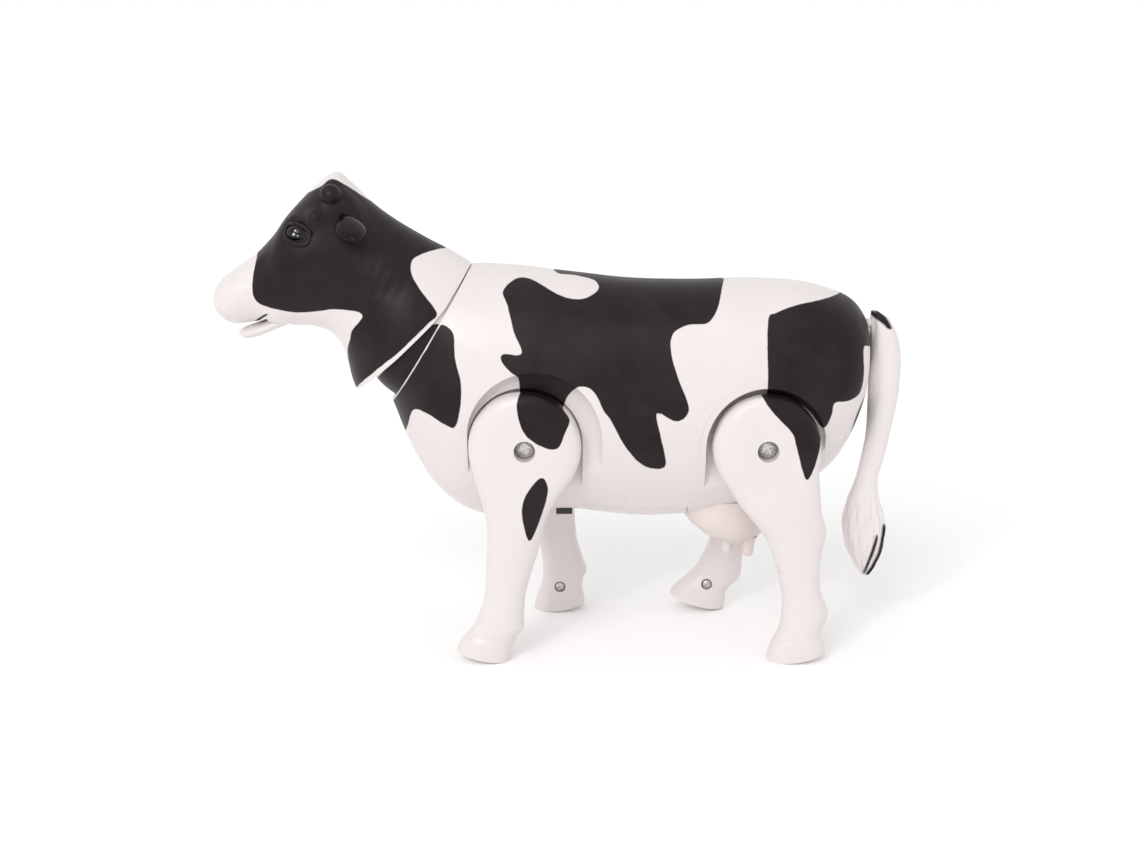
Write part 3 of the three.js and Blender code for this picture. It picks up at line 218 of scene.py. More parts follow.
REAR_LEG_PATCHES = [
    [(81.4, 16.4), (84, 24), (98, 24), (109.5, 13), (110, 3), (107.9, -2.4), (107.1, -8.8), (104.5, -17.8),
     (101.5, -22.5), (99.4, -17.8), (97.2, -8.8), (95.1, -2.4), (89.5, 3.6), (84.8, 9.2)],
]
TAIL_PATCHES = [
    [(127, 51.5), (131, 50.8), (135, 47.8), (137.8, 42.6), (135.9, 42.4), (134, 44.4), (131.1, 46.4),
     (128.6, 48.8)],
    [(134.4, -41.2), (136.8, -46), (135.2, -53), (131.5, -59.5), (127.6, -64), (126.6, -63), (129.2, -58.8),
     (131.4, -54.2), (132.9, -49), (133.6, -44.5)],
    [(131.2, -46), (131.9, -47.4), (131, -51.4), (129.4, -55.8), (127.4, -60), (126, -62.6), (125.6, -61.6),
     (126.9, -58.4), (128.4, -54.4), (129.9, -50)],
]

# The two pairs of legs: place, well, pocket and round hip, link pin, form, paint and the turns at rest.

Hip = namedtuple("Hip", "label x r dx dz pocket disc link form patches near far")
HIPS = [
    Hip("front", -14, 28, 4, 3.5, 23.9, 23.4, -LINK_ARM, FRONT_LEG, FRONT_LEG_PATCHES, SWING, -SWING),
    Hip("rear", 86, 25, 0, 0, 25, 22.4, LINK_ARM, REAR_LEG, REAR_LEG_PATCHES, -SWING, SWING + REAR_LEAD),
]


# Curves and solids

def curve(p0, p1, p2, p3, w):
    """The smooth stretch from p1 to p2."""
    leave, arrive = 0.5 * (p2 - p0), 0.5 * (p3 - p1)
    cubic = 2 * p1 - 2 * p2 + leave + arrive
    square = -3 * p1 + 3 * p2 - 2 * leave - arrive
    return p1 + leave * w + square * w ** 2 + cubic * w ** 3


def spline(rows, shares):
    """A smooth line through the rows, read at the given shares of its length."""
    rows = np.array(rows, float)
    last = len(rows) - 1
    padded = np.vstack([2 * rows[0] - rows[1], rows, 2 * rows[-1] - rows[-2]])
    place = np.clip(np.asarray(shares, float) * last, 0, last)
    first = np.minimum(place.astype(int), last - 1)
    return curve(*(padded[first + k] for k in range(4)), (place - first)[:, None])


def closed_spline(points):
    """A closed smooth outline through the points."""
    ring = np.array(points, float)
    share = np.arange(len(ring) * 6) / 6
    first = share.astype(int)
    return curve(*(ring[(first + k) % len(ring)] for k in (-1, 0, 1, 2)), (share - first)[:, None])


def softened(lines, rounds):
    """Rounds off the small kinks at the sections and keeps both ends."""
    for _ in range(rounds):
        lines[1:-1] = 0.25 * lines[:-2] + 0.5 * lines[1:-1] + 0.25 * lines[2:]
    return lines


def linked(name, data):
    thing = bpy.data.objects.new(name, data)
    bpy.context.collection.objects.link(thing)
    return thing


def new_object(name, points, faces):
    mesh = bpy.data.meshes.new(name)
    mesh.from_pydata((np.asarray(points) * MM).tolist(), [], faces)
    mesh.validate()
    form = bmesh.new()
    form.from_mesh(mesh)
    bmesh.ops.remove_doubles(form, verts=form.verts, dist=1e-7)
    bmesh.ops.recalc_face_normals(form, faces=form.faces)
    form.to_mesh(mesh)
    form.free()
    return linked(name, mesh)


def grid_faces(rows, columns):
    faces = []
    for i in range(rows):
        for j in range(columns):
            k = (j + 1) % columns
            faces.append((i * columns + j, i * columns + k, (i + 1) * columns + k, (i + 1) * columns + j))
    faces.append(tuple(range(columns))[::-1])
    faces.append(tuple(rows * columns + j for j in range(columns)))
    return faces


def skin(stations, around, steps, inset=0.0, first=0.0, last=1.0, top=2.0, bottom=2.0, soften=2, relief=None):
    """A smooth closed skin through the sections. Relief moves its points along their outward direction."""
    rows = [tuple(s) + (0.0,) * (7 - len(s)) for s in stations]
    lines = softened(spline(rows, np.linspace(first, last, steps + 1)), soften)
    front = np.stack([lines[:, 0], 0 * lines[:, 0], lines[:, 1]], 1)
    back = np.stack([lines[:, 2], 0 * lines[:, 2], lines[:, 3]], 1)
    middle = (front + back) / 2
    reach = front - back
    length = np.linalg.norm(reach, axis=1, keepdims=True)
    reach = reach / length * np.maximum(length / 2 - inset, 0.3)
    width = np.maximum(lines[:, 4] - inset, 0.3)
    angle = 2 * np.pi * np.arange(around) / around
    cosine, sine = np.cos(angle), np.sin(angle)
    power = np.where(cosine > 0, top, bottom)[None, :] + lines[:, 6][:, None]
    c = np.sign(cosine) * np.abs(cosine) ** (2 / power)
    s = np.sign(sine) * np.abs(sine) ** (2 / power)
    points = middle[:, None, :] + reach[:, None, :] * c[:, :, None]
    points[:, :, 1] += lines[:, 5][:, None] + width[:, None] * s
    points = points.reshape(-1, 3)
    if relief:
        ring = points.reshape(steps + 1, around, 3)
        along = np.gradient(ring, axis=0)
        across = np.roll(ring, -1, axis=1) - np.roll(ring, 1, axis=1)
        outward = np.cross(across, along).reshape(-1, 3)
        outward /= np.maximum(np.linalg.norm(outward, axis=1, keepdims=True), 1e-9)
        away = (ring - ring.mean(axis=1, keepdims=True)).reshape(-1, 3)
        outward *= np.sign((outward * away).sum(axis=1, keepdims=True) + 1e-12)
        points = points + outward * relief(points)[:, None]
    return new_object("skin", points, grid_faces(steps, around))


def turned(profile, sides, along="Y", at=(0, 0, 0)):
    """A closed form turned about an axis. The profile gives radius and place along the axis."""
    angle = 2 * np.pi * np.arange(sides) / sides
    rows = []
    for r, place in profile:
        a, b = max(r, 1e-4) * np.cos(angle), max(r, 1e-4) * np.sin(angle)
        put = np.full(sides, float(place))
        rows.append(np.stack({"Y": (a, put, b), "X": (put, a, b), "Z": (a, b, put)}[along], 1))
    points = np.vstack(rows) + np.array(at, float)
    return new_object("turned", points, grid_faces(len(profile) - 1, sides))


def oval(r, half, steps):
    """Profile of a round form that is flatter or longer along its axis."""
    return [(r * math.cos(a), half * math.sin(a)) for a in np.linspace(-math.pi / 2, math.pi / 2, steps)]


def rod(r, y0, y1, x=0, z=0, sides=48):
    return turned([(r, y0), (r, y1)], sides, "Y", (x, 0, z))


def peg(r, x0, x1, sides=40):
    """A rod on the tail's own axis."""
    return turned([(r, x0), (r, x1)], sides, "X", (0, 0, TAIL_PEG_Z))


def plate(outline, y0, y1):
    """A flat outline in X and Z, thickened along Y."""
    points = [(x, y, z) for y in (y0, y1) for x, z in outline]
    return new_object("plate", points, grid_faces(1, len(outline)))


def block(x0, x1, y0, y1, z0, z1):
    return plate([(x0, z0), (x1, z0), (x1, z1), (x0, z1)], y0, y1)


def arc(x, z, r, start, end, steps):
    return [(x + r * math.cos(a), z + r * math.sin(a)) for a in np.linspace(start, end, steps)]


def slot_outline(x0, x1, z0, z1):
    """A flat outline with fully rounded ends."""
    x, z, r, turn = (x0 + x1) / 2, (z0 + z1) / 2, min(x1 - x0, z1 - z0) / 2, math.pi / 2
    if x1 - x0 > z1 - z0:
        return arc(x1 - r, z, r, -turn, turn, 12) + arc(x0 + r, z, r, turn, 3 * turn, 12)
    return arc(x, z1 - r, r, 0, 2 * turn, 12) + arc(x, z0 + r, r, 2 * turn, 4 * turn, 12)


def applied(thing):
    """Bakes the modifiers into the mesh."""
    shown = thing.evaluated_get(bpy.context.evaluated_depsgraph_get())
    mesh = bpy.data.meshes.new_from_object(shown)
    thing.modifiers.clear()
    thing.data = mesh
    return thing


def combined(thing, tools, operation):
    for tool in tools:
        step = thing.modifiers.new("step", "BOOLEAN")
        step.operation = operation
        step.solver = "MANIFOLD"
        step.object = tool
        applied(thing)
        bpy.data.objects.remove(tool)
    return thing


def joined(thing, *tools):
    return combined(thing, tools, "UNION")


def cut(thing, *tools):
    return combined(thing, tools, "DIFFERENCE")


def kept(thing, *tools):
    return combined(thing, tools, "INTERSECT")


def copied(thing):
    twin = thing.copy()
    twin.data = thing.data.copy()
    bpy.context.collection.objects.link(twin)
    return twin


def put(thing, place, turn):
    """Turns a piece and sets it at a place, in its mesh."""
    thing.data.transform(Matrix.Translation(Vector(place) * MM) @ turn)
    return thing


def placed(thing, turn=0.0, x=0.0, z=0.0, mirror=False):
    """Turns about Y, moves, and mirrors to the cow's left side. The place goes into the mesh."""
    put(thing, (x, 0, z), Matrix.Rotation(turn, 4, "Y"))
    if mirror:
        thing.data.transform(Matrix.Scale(-1, 4, (0, 1, 0)))
        thing.data.flip_normals()
    thing.data.update()
    return thing


def points_of(thing):
    flat = np.empty(len(thing.data.vertices) * 3)
    thing.data.vertices.foreach_get("co", flat)
    return flat.reshape(-1, 3) / MM


# Painted patches

def seen(points):
    """Where points of the standing toy show in a plane that faces the camera, in mm from its centre."""
    offset = points - VIEW_TARGET
    nearer = VIEW_DISTANCE / (VIEW_DISTANCE - offset @ VIEW_BACK)
    return np.stack([offset[:, 0] * nearer, (offset @ VIEW_RISE) * nearer], 1)


def line_distance(places, line):
    """Distance from each place to the nearest piece of an open line."""
    nearest = np.full(len(places), 1e9)
    for a, b in zip(line[:-1], line[1:]):
        step = b - a
        share = np.clip(((places - a) @ step) / max(step @ step, 1e-9), 0, 1)
        nearest = np.minimum(nearest, np.linalg.norm(places - a - share[:, None] * step, axis=1))
    return nearest


def inside_distance(places, outline):
    """Distance to the outline, positive inside it."""
    line = closed_spline(outline)
    line = np.vstack([line, line[:1]])
    nearest = line_distance(places, line)
    within = np.zeros(len(places), bool)
    for a, b in zip(line[:-1], line[1:]):
        step = b - a
        crosses = (a[1] > places[:, 1]) != (b[1] > places[:, 1])
        if abs(step[1]) > 1e-9:
            at = a[0] + (places[:, 1] - a[1]) * step[0] / step[1]
            within ^= crosses & (places[:, 0] < at)
    return np.where(within, nearest, -nearest)


def paint(thing, outlines, vary=True, bare_highlight_line=None):
    """Stores how far inside a patch each point lies, and leaves a thin rim along a line of x, z points
    unpainted; its white line is partly the bare plastic edge and partly a painted highlight along that seam.

    The cow's right side repeats the left with small changes.
    """
    points = points_of(thing)
    away = line_distance(points[:, [0, 2]], bare_highlight_line) if bare_highlight_line is not None else 1e9
    right = np.clip(points[:, 1] / 14, 0, 1)
    points[:, 1] = -np.abs(points[:, 1])
    places = seen(points)
    if vary:
        u, v = places[:, 0].copy(), places[:, 1].copy()
        places[:, 0] += right * 3.2 * np.sin(v / 13 + 1.3)
        places[:, 1] += right * 2.6 * np.sin(u / 15 + 0.7)
    amount = np.full(len(points), -20.0)
    for outline in outlines:
        amount = np.maximum(amount, inside_distance(places, outline))
    amount = np.minimum(amount, away - BARE_EDGE_HIGHLIGHT)
    attribute = thing.data.attributes.new("patch", "FLOAT", "POINT")
    attribute.data.foreach_set("value", np.clip(amount, -6, 6).astype(np.float32))


def bumps(points, rows):
    """Sum of soft bumps and dents, the same on both sides: x, |y|, z, reach along x, y, z, height."""
    side = np.abs(points[:, 1])
    total = np.zeros(len(points))
    for x, y, z, rx, ry, rz, height in rows:
        away = ((points[:, 0] - x) / rx) ** 2 + ((side - y) / ry) ** 2 + ((points[:, 2] - z) / rz) ** 2
        total += height * np.exp(-away)
    return total


# Nodes

def feed(tree, socket, value):
    """Links an output to the socket, a list of outputs in turn, or sets the socket's own value."""
    if isinstance(value, list):
        for item in value:
            tree.links.new(item, socket)
    elif isinstance(value, bpy.types.NodeSocket):
        tree.links.new(value, socket)
    elif value is not None:
        socket.default_value = (*value, 1) if socket.type == "RGBA" else value


def node(tree, kind, inputs=None, **values):
    """Adds a node with its settings and feeds its inputs, given by name or number."""
    made = tree.nodes.new(kind)
    for key, value in values.items():
        setattr(made, key, value)
    for key, value in (inputs or {}).items():
        feed(tree, made.inputs[key], value)
    return made


def maths(tree, operation, a, b=None, clamp=False):
    return node(tree, "ShaderNodeMath", {0: a, 1: b}, operation=operation, use_clamp=clamp).outputs[0]


def sloped(tree, value, slope, start, clamp=False):
    """The start plus the slope times the value."""
    return maths(tree, "ADD", maths(tree, "MULTIPLY", value, slope), start, clamp)


def noise(tree, scale, detail=2.0, roughness=0.5, stretch=None):
    where = node(tree, "ShaderNodeTexCoord").outputs["Object"]
    if stretch:
        where = node(tree, "ShaderNodeMapping", {"Vector": where, "Scale": stretch}).outputs["Vector"]
    inputs = {"Vector": where, "Scale": scale, "Detail": detail, "Roughness": roughness}
    return node(tree, "ShaderNodeTexNoise", inputs).outputs["Fac"]


def mix_colour(tree, share, a, b):
    return node(tree, "ShaderNodeMix", {0: share, 6: a, 7: b}, data_type="RGBA").outputs[2]


def group_start(name, inputs, outputs, kind="ShaderNodeTree"):
    """A node group with its sockets, which carry numbers unless their label says otherwise."""
    tree = bpy.data.node_groups.new(name, kind)
    other = {"Geometry": "NodeSocketGeometry", "Finish": "NodeSocketMaterial"}
    for side, labels in (("INPUT", inputs), ("OUTPUT", outputs)):
        for label in labels:
            socket = other.get(label, "NodeSocketFloat")
            tree.interface.new_socket(label, in_out=side, socket_type=socket)
    return tree, tree.nodes.new("NodeGroupInput").outputs, tree.nodes.new("NodeGroupOutput").inputs


def make_patch_mask():
    """How much paint lies on a point: the stored distance with an uneven, soft edge."""
    tree, given, result = group_start("Patch Mask", ["Edge Softness", "Edge Wander"], ["Mask"])
    stored = node(tree, "ShaderNodeAttribute", attribute_name="patch", attribute_type="GEOMETRY")
    wander = maths(tree, "SUBTRACT", noise(tree, 260, 3), 0.5)
    distance = sloped(tree, wander, given["Edge Wander"], stored.outputs["Fac"])
    share = maths(tree, "DIVIDE", distance, given["Edge Softness"])
    feed(tree, result["Mask"], maths(tree, "ADD", share, 0.5, clamp=True))
    return tree


def make_moulded_grain():
    """Fine unevenness of moulded plastic: a height for bump and a small change of roughness."""
    tree, given, result = group_start("Moulded Grain", ["Grain Scale"], ["Height", "Unevenness"])
    grain, wave = noise(tree, given["Grain Scale"], 2), noise(tree, 28, 1)
    feed(tree, result["Height"], sloped(tree, wave, 6.0, grain))
    feed(tree, result["Unevenness"], maths(tree, "SUBTRACT", noise(tree, 60, 4, 0.6), 0.5))
    return tree


PATCH_MASK = make_patch_mask()
MOULDED_GRAIN = make_moulded_grain()


def patch_mask(tree, softness, wander=0.5):
    inputs = {"Edge Softness": softness, "Edge Wander": wander}
    return node(tree, "ShaderNodeGroup", inputs, node_tree=PATCH_MASK).outputs["Mask"]


def moulded_grain(tree, scale=900.0):
    made = node(tree, "ShaderNodeGroup", {"Grain Scale": scale}, node_tree=MOULDED_GRAIN)
    return made.outputs["Height"], made.outputs["Unevenness"]


# Materials

def shade(tree, **values):
    """Feeds the main shader's inputs. An underscore stands for a space."""
    for label, value in values.items():
        feed(tree, tree.nodes["Principled BSDF"].inputs[label.replace("_", " ")], value)


def start_material(name, **values):
    material = bpy.data.materials.new(name)
    material.use_nodes = True
    shade(material.node_tree, **values)
    return material, material.node_tree


def add_bump(tree, height, strength, distance):
    bump = node(tree, "ShaderNodeBump", {"Strength": strength, "Distance": distance, "Height": height})
    shade(tree, Normal=bump.outputs["Normal"])


def painted_plastic(name, white, roughness=0.3, softness=0.35):
    """White moulded plastic with sprayed black patches."""
    material, tree = start_material(name, IOR=1.48, Subsurface_Weight=0.06, Subsurface_Radius=(1.0, 0.7, 0.6),
                                    Subsurface_Scale=0.0015)
    mask = patch_mask(tree, softness)
    height, uneven = moulded_grain(tree)
    paler = tuple(min(1.0, c * 1.03) for c in white)
    light = mix_colour(tree, sloped(tree, uneven, 1.5, 0.5, True), white, paler)
    thin = tuple(b + 0.012 for b in BLACK)
    dark = mix_colour(tree, sloped(tree, uneven, 2.0, 0.3, True), BLACK, thin)
    shade(tree, Base_Color=mix_colour(tree, mask, light, dark),
          Specular_IOR_Level=sloped(tree, mask, -0.2, 0.42),
          Roughness=sloped(tree, mask, 0.1, sloped(tree, uneven, 0.16, roughness)))
    add_bump(tree, sloped(tree, mask, 2.0, height), 0.12, 0.00012)
    return material


def plain_plastic(name, colour, roughness, grain_scale=900.0, **values):
    material, tree = start_material(name, **values)
    height, uneven = moulded_grain(tree, grain_scale)
    deeper = tuple(c * 0.9 for c in colour)
    shade(tree, Base_Color=mix_colour(tree, sloped(tree, uneven, 2.0, 0.5, True), deeper, colour),
          Roughness=sloped(tree, uneven, 0.2, roughness))
    add_bump(tree, height, 0.15, 0.00015)
    return material


def eye_lacquer(name, dark, light):
    """Clear black lacquer with painted highlights: light dots in its colour that stand in for the lamp
    reflections on the eyeball.
    """
    material, tree = start_material(name, IOR=1.5, Specular_IOR_Level=0.3)
    mask = patch_mask(tree, 0.4, 0.2)
    height, uneven = moulded_grain(tree, 400.0)
    shade(tree, Base_Color=mix_colour(tree, mask, dark, light), Roughness=sloped(tree, uneven, 0.1, 0.1))
    add_bump(tree, height, 0.1, 0.0001)
    return material


def metal(name, colour, roughness, stretch):
    """Drawn or plated metal with faint lines along one axis."""
    material, tree = start_material(name, Metallic=1.0)
    lines = noise(tree, 1500, 3, stretch=stretch)
    dull = tuple(c * 0.85 for c in colour)
    shade(tree, Base_Color=mix_colour(tree, lines, dull, colour),
          Roughness=sloped(tree, maths(tree, "SUBTRACT", lines, 0.5), 0.25, roughness))
    add_bump(tree, lines, 0.2, 0.00005)
    return material


BLACK = (0.0105, 0.0045, 0.0065)
SHELL = painted_plastic("Painted Body Plastic", (0.775, 0.718, 0.703))
TAIL_PLASTIC = painted_plastic("Painted Tail Plastic", (0.82, 0.762, 0.747), 0.34, 0.8)
UDDER_PLASTIC = plain_plastic("Udder Plastic", (0.80, 0.715, 0.69), 0.36, IOR=1.46, Subsurface_Weight=0.15,
                              Subsurface_Scale=0.003)
EAR_PLASTIC = plain_plastic("Black Ear Plastic", (0.0085, 0.004, 0.006), 0.22, IOR=1.48,
                            Specular_IOR_Level=0.17)
# The second colour is the painted highlight on the eyeballs.
EYE_LACQUER = eye_lacquer("Eye Lacquer", (0.006, 0.004, 0.005), (0.6, 0.57, 0.58))
KNOB_PLASTIC = plain_plastic("Black Knob Plastic", (0.02, 0.02, 0.021), 0.4, IOR=1.48)
NYLON = plain_plastic("Natural Nylon", (0.78, 0.76, 0.68), 0.48, 1400.0)
FRAME_PLASTIC = plain_plastic("Grey Frame Plastic", (0.27, 0.29, 0.31), 0.5, 1100.0)
CELL_FILM = plain_plastic("Cell Film", (0.1, 0.2, 0.13), 0.35, 500.0)
ZINC = metal("Bright Zinc", (0.66, 0.655, 0.64), 0.26, (1, 1, 1))
STEEL = metal("Drawn Steel", (0.58, 0.585, 0.6), 0.3, (1, 0.03, 1))


def finished(thing, name, body, nodes, material=SHELL):
    """Names a piece, shades it smooth between its hard edges, and ties it to its body."""
    thing.name = name
    thing.data.name = name
    thing.data.materials.clear()
    thing.data.materials.append(material)
    thing.data.shade_smooth()
    thing.data.set_sharp_from_angle(angle=SHARP_EDGE)
    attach(thing, body)
    if nodes:
        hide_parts(*nodes)
    return thing


# Torso

TORSO_RELIEF = [
    (72, 21, 53, 9, 9, 8, 0.9), (60, 34, 6, 15, 9, 20, -0.9), (-30, 27, 40, 15, 12, 20, 0.8),
    (106, 25, 26, 15, 10, 20, 0.7), (122, 0, 57, 8, 7, 7, 0.8), (-20, 0, 70, 14, 6, 6, 0.6),
    (112, 22, -2, 12, 9, 12, 0.5), (20, 35, 10, 22, 9, 26, 0.4), (-52, 10, -14, 16, 10, 14, 0.5),
    (2, 0, -37, 13, 22, 8, -1.1), (36, 0, -37, 16, 22, 8, 1.2),
]
TORSO_FRONT = np.array([TORSO[-1][:2], TORSO[-1][2:4]]) + (0, HIP_Z)


def torso_relief(points):
    return bumps(points, TORSO_RELIEF)


def torso_skin(around, steps, inset=0.0, relief=None, **ends):
    return skin(TORSO, around, steps, inset, top=2.1, bottom=1.7, soften=3, relief=relief, **ends)


def within_torso(thing):
    return kept(thing, torso_skin(120, 90))


def neck_barrel(grow=0.0, back=5.0, front=15.0, x=NECK[0], z=NECK[1]):
    """A slice of the dome that turns about the neck pin."""
    dome = turned(oval(NECK_R + grow, NECK_HALF + grow, 40), 120, "Y", (x, 0, z))
    slab = placed(block(-front, back, -FAR, FAR, -FAR, FAR), NECK_TILT, x, z)
    return kept(dome, slab)


def well_outline(hip, grow):
    return arch(hip.x + hip.dx, hip.dz, hip.r + grow)


def arch(x, z, r):
    """A half round that goes on straight down."""
    return arc(x, z, r, 0, math.pi, 72) + [(x - r, -FAR), (x + r, -FAR)]


def well_ring(hip):
    """The shallow ledge between the leg's own round pocket and the wider arc around it."""
    ledge = plate(well_outline(hip, 1.0), WELL_FLOOR - 1, RING_FLOOR)
    return within_torso(cut(ledge, plate(arch(hip.x, 0, hip.pocket), 0, FAR)))


def sliced(thing, picks, planes):
    """Adds edges along the planes to the faces that are picked, so that paint finds points there."""
    form = bmesh.new()
    form.from_mesh(thing.data)
    faces = [face for face in form.faces if picks(face.calc_center_median() / MM)]
    parts = list({item for face in faces for item in (*face.verts, *face.edges)}) + faces
    for axis, place in planes:
        at, normal = [0.0, 0.0, 0.0], [0.0, 0.0, 0.0]
        at[axis], normal[axis] = place * MM, 1.0
        parts = bmesh.ops.bisect_plane(form, geom=parts, dist=1e-7, plane_co=at, plane_no=normal)["geom"]
    form.to_mesh(thing.data)
    form.free()
    return thing


def in_well(hip):
    """Picks faces on the floor, the ledge and the wall of a well."""
    def picks(centre):
        away = math.hypot(centre.x - hip.x - hip.dx, centre.z - hip.dz)
        pocket = math.hypot(centre.x - hip.x, centre.z)
        flat = min(abs(centre.y - WELL_FLOOR), abs(centre.y - RING_FLOOR)) < 0.05
        wall = min(abs(away - hip.r), abs(pocket - hip.pocket)) < 0.3
        return away < hip.r + 0.3 and centre.y > WELL_FLOOR - 0.1 and (flat or wall)
    return picks


def torso_half():
    """The right-hand torso case with its leg wells, hip posts and slots."""
    shell = torso_skin(240, 200, relief=torso_relief)
    hollow = joined(torso_skin(72, 60, TORSO_WALL, first=0.03, last=0.99), neck_barrel(GAP, 6.0, 15.0))
    half = block(-200, 200, GAP / 2, FAR, -FAR, FAR)
    cups = [within_torso(plate(well_outline(hip, TORSO_WALL), WELL_FLOOR - TORSO_WALL, FAR)) for hip in HIPS]
    shell = joined(cut(kept(shell, copied(half)), hollow), *cups)
    through = (WELL_FLOOR - TORSO_WALL - 1, WELL_FLOOR + 1)
    for hip in HIPS:
        x, z, r = hip.x, hip.link, LINK_SLOT_R
        shell = cut(shell, plate(well_outline(hip, 0), WELL_FLOOR, FAR))
        if hip.pocket < hip.r:
            shell = joined(shell, well_ring(hip))
        post = cut(rod(HIP_POST_R, WELL_FLOOR - 1, LEG_OUTER - HIP_SCREW_SINK + 0.1, x), rod(1.6, 22, FAR, x))
        reach = LINK_ARM * math.sin(SWING + REAR_LEAD) + r
        window = slot_outline(x - reach, x + reach, z - r, z + r)
        shell = cut(joined(shell, post), plate(window, *through))
    shell = cut(shell, rod(CRANK_REACH, *through, HIPS[0].x, CRANK_LIFT))
    boss = within_torso(peg(5.6, TAIL_SEAT_X, 150, 48))
    shell = joined(shell, kept(boss, half))
    shell = cut(shell, peg(2.35, 0, 150), peg(4.55, 60, TAIL_SEAT_X),
                block(*BATTERY_OPENING, -FAR, BELLY_CUT), block(*KNOB_SLOT, -FAR, BELLY_CUT))
    for hip in HIPS:
        across = [(0, hip.x + 1.4 * step) for step in range(-22, 25)]
        upward = [(2, 1.4 * step) for step in range(-10, 25)]
        depth = [(1, WELL_FLOOR + 1.6 * step) for step in range(1, 8)]
        sliced(shell, in_well(hip), across + upward + depth)
    return shell


def make_torso():
    right = placed(torso_half(), 0, 0, HIP_Z)
    left = placed(copied(right), mirror=True)
    for half, side in ((left, "left"), (right, "right")):
        # The torso's front rim is left white: partly bare plastic, partly a painted highlight along the neck
        # seam.
        paint(half, [SHOULDER_PATCH, BODY_PATCH, RUMP_PATCH, TAIL_SIDE_PATCH], bare_highlight_line=TORSO_FRONT)
        finished(half, "torso_case_" + side, "torso", ["torso_" + side])
    lid = kept(torso_skin(240, 200, relief=torso_relief), block(*BATTERY_LID, -FAR, BELLY_CUT))
    lid = cut(lid, torso_skin(72, 60, TORSO_WALL))
    for step in range(5):
        x = 12.5 + 1.6 * step
        lid = cut(lid, block(x, x + 0.7, -5, 5, -FAR, -36.4))
    placed(lid, 0, 0, HIP_Z)
    paint(lid, [BODY_PATCH])
    finished(lid, "battery_lid", "torso", ["battery_door"])


def make_collar():
    band = cut(neck_barrel(), neck_barrel(-2.0, 6.0, 16.0))
    for side in (-1, 1):
        near, far = sorted((side * 3.3, side * 22.7))
        band = joined(band, rod(4.5, near, far, *NECK))
    band = cut(band, rod(2.3, -23, 23, *NECK))
    placed(band, 0, 0, HIP_Z)
    paint(band, [SHOULDER_PATCH])
    finished(band, "neck_band", "torso", ["neck_collar"])


# Head

HEAD_RELIEF = [
    (-47.2, 15.5, 51.6, 3.4, 5, 2.9, 2.2), (-54, 16, 44.4, 6.8, 6, 5.6, -1), (-46, 20, 22, 13, 9, 12, 0.9),
    (-40, 19, 47, 6, 6, 8, -0.6), (-66, 13, 24, 9, 6, 6, -0.5), (-86, 6.5, 19, 2, 2.2, 1.6, -1.4),
    (-84.5, 7.5, 22.5, 3.2, 3, 2.2, 0.7), (-88, 8, 12, 5, 4, 4, 0.5), (-74, 9, 31, 9, 3, 4, 0.5),
    (-58, 0, 50, 9, 5, 8, -0.6), (-37, 0, 69, 7, 7, 5, 0.3), (-56, 12, 8, 14, 5, 4, 0.5),
    (-20, 20, 22, 16, 9, 5, -0.5), (-8, 22, 6, 18, 9, 6, 0.5),
]


def ridge(points, path, width, height):
    """A soft ridge or groove along a path of x, z points on the sides of the head."""
    away = line_distance(points[:, [0, 2]], np.array(path, float))
    return height * np.exp(-(away / width) ** 2) * np.clip(np.abs(points[:, 1]) / 3 - 2, 0, 1)


def head_relief(points):
    folds = np.sin((points[:, 0] * 0.9 - points[:, 2] * 0.45) / 0.75)
    neck = np.exp(-((points[:, 0] + 20) / 8) ** 2 - ((points[:, 2] - 30) / 13) ** 2)
    lines = ridge(points, EYE_CREASE, 0.75, -0.65) + ridge(points, BROW_FOLD, 1.1, 0.55)
    return bumps(points, HEAD_RELIEF) + 0.06 * folds * neck + lines + ridge(points, EAR_CREST, 2.6, 1.0)


def jaw_skin(grow, turn):
    jaw = placed(skin(JAW, 72, 40, -grow, soften=2), 0, -JAW_PIN[0], -JAW_PIN[1])
    return placed(jaw, turn, *JAW_PIN)


def head_half():
    shell = skin(HEAD, 300, 280, soften=3, relief=head_relief)
    shell = kept(shell, block(-200, 200, GAP / 2, FAR, -FAR, 2 * FAR))
    return cut(shell, skin(HEAD, 80, 60, HEAD_WALL, last=0.93, soften=3), neck_barrel(RUN, 17.0, 27.0, 0, 0),
               jaw_skin(RUN, 0), jaw_skin(RUN, JAW_TURN), plate(MOUTH, -FAR, FAR),
               plate(HEAD_REAR_EDGE, -FAR, FAR))


def eye_pieces(shell):
    """An eyeball and the two moulded lids around it, laid on the right side of the head."""
    surface = BVHTree.FromObject(shell, bpy.context.evaluated_depsgraph_get())

    def on_shell(u, w, out):
        x = EYE[0] + u * math.cos(EYE_TILT) + w * math.sin(EYE_TILT)
        z = EYE[1] - u * math.sin(EYE_TILT) + w * math.cos(EYE_TILT)
        hit = surface.ray_cast(Vector((x, FAR, z)) * MM, Vector((0, -1, 0)))[0]
        return x, hit.y / MM + out, z

    ball = turned(oval(3.3, 2.5, 32), 64)
    face = Matrix.Rotation(math.radians(10), 4, "Z") @ Matrix.Rotation(EYE_TILT, 4, "Y")
    put(ball, on_shell(0, 0, -0.7), face @ Matrix.Diagonal((1.42, 1, 1, 1)))
    beads = []
    for lift, rise, thick in ((1, 3.7, 1.05), (-1, 3.7, 1.15)):
        path = []
        for a in np.linspace(0, math.pi, 40):
            place = on_shell(5.5 * math.cos(a), lift * rise * math.sin(a) ** 0.8, 0.1 + 0.35 * math.sin(a))
            path.append((*place, thick * (0.4 + 0.6 * math.sin(a))))
        beads.append(tube(path, 16))
    return ball, joined(*beads)


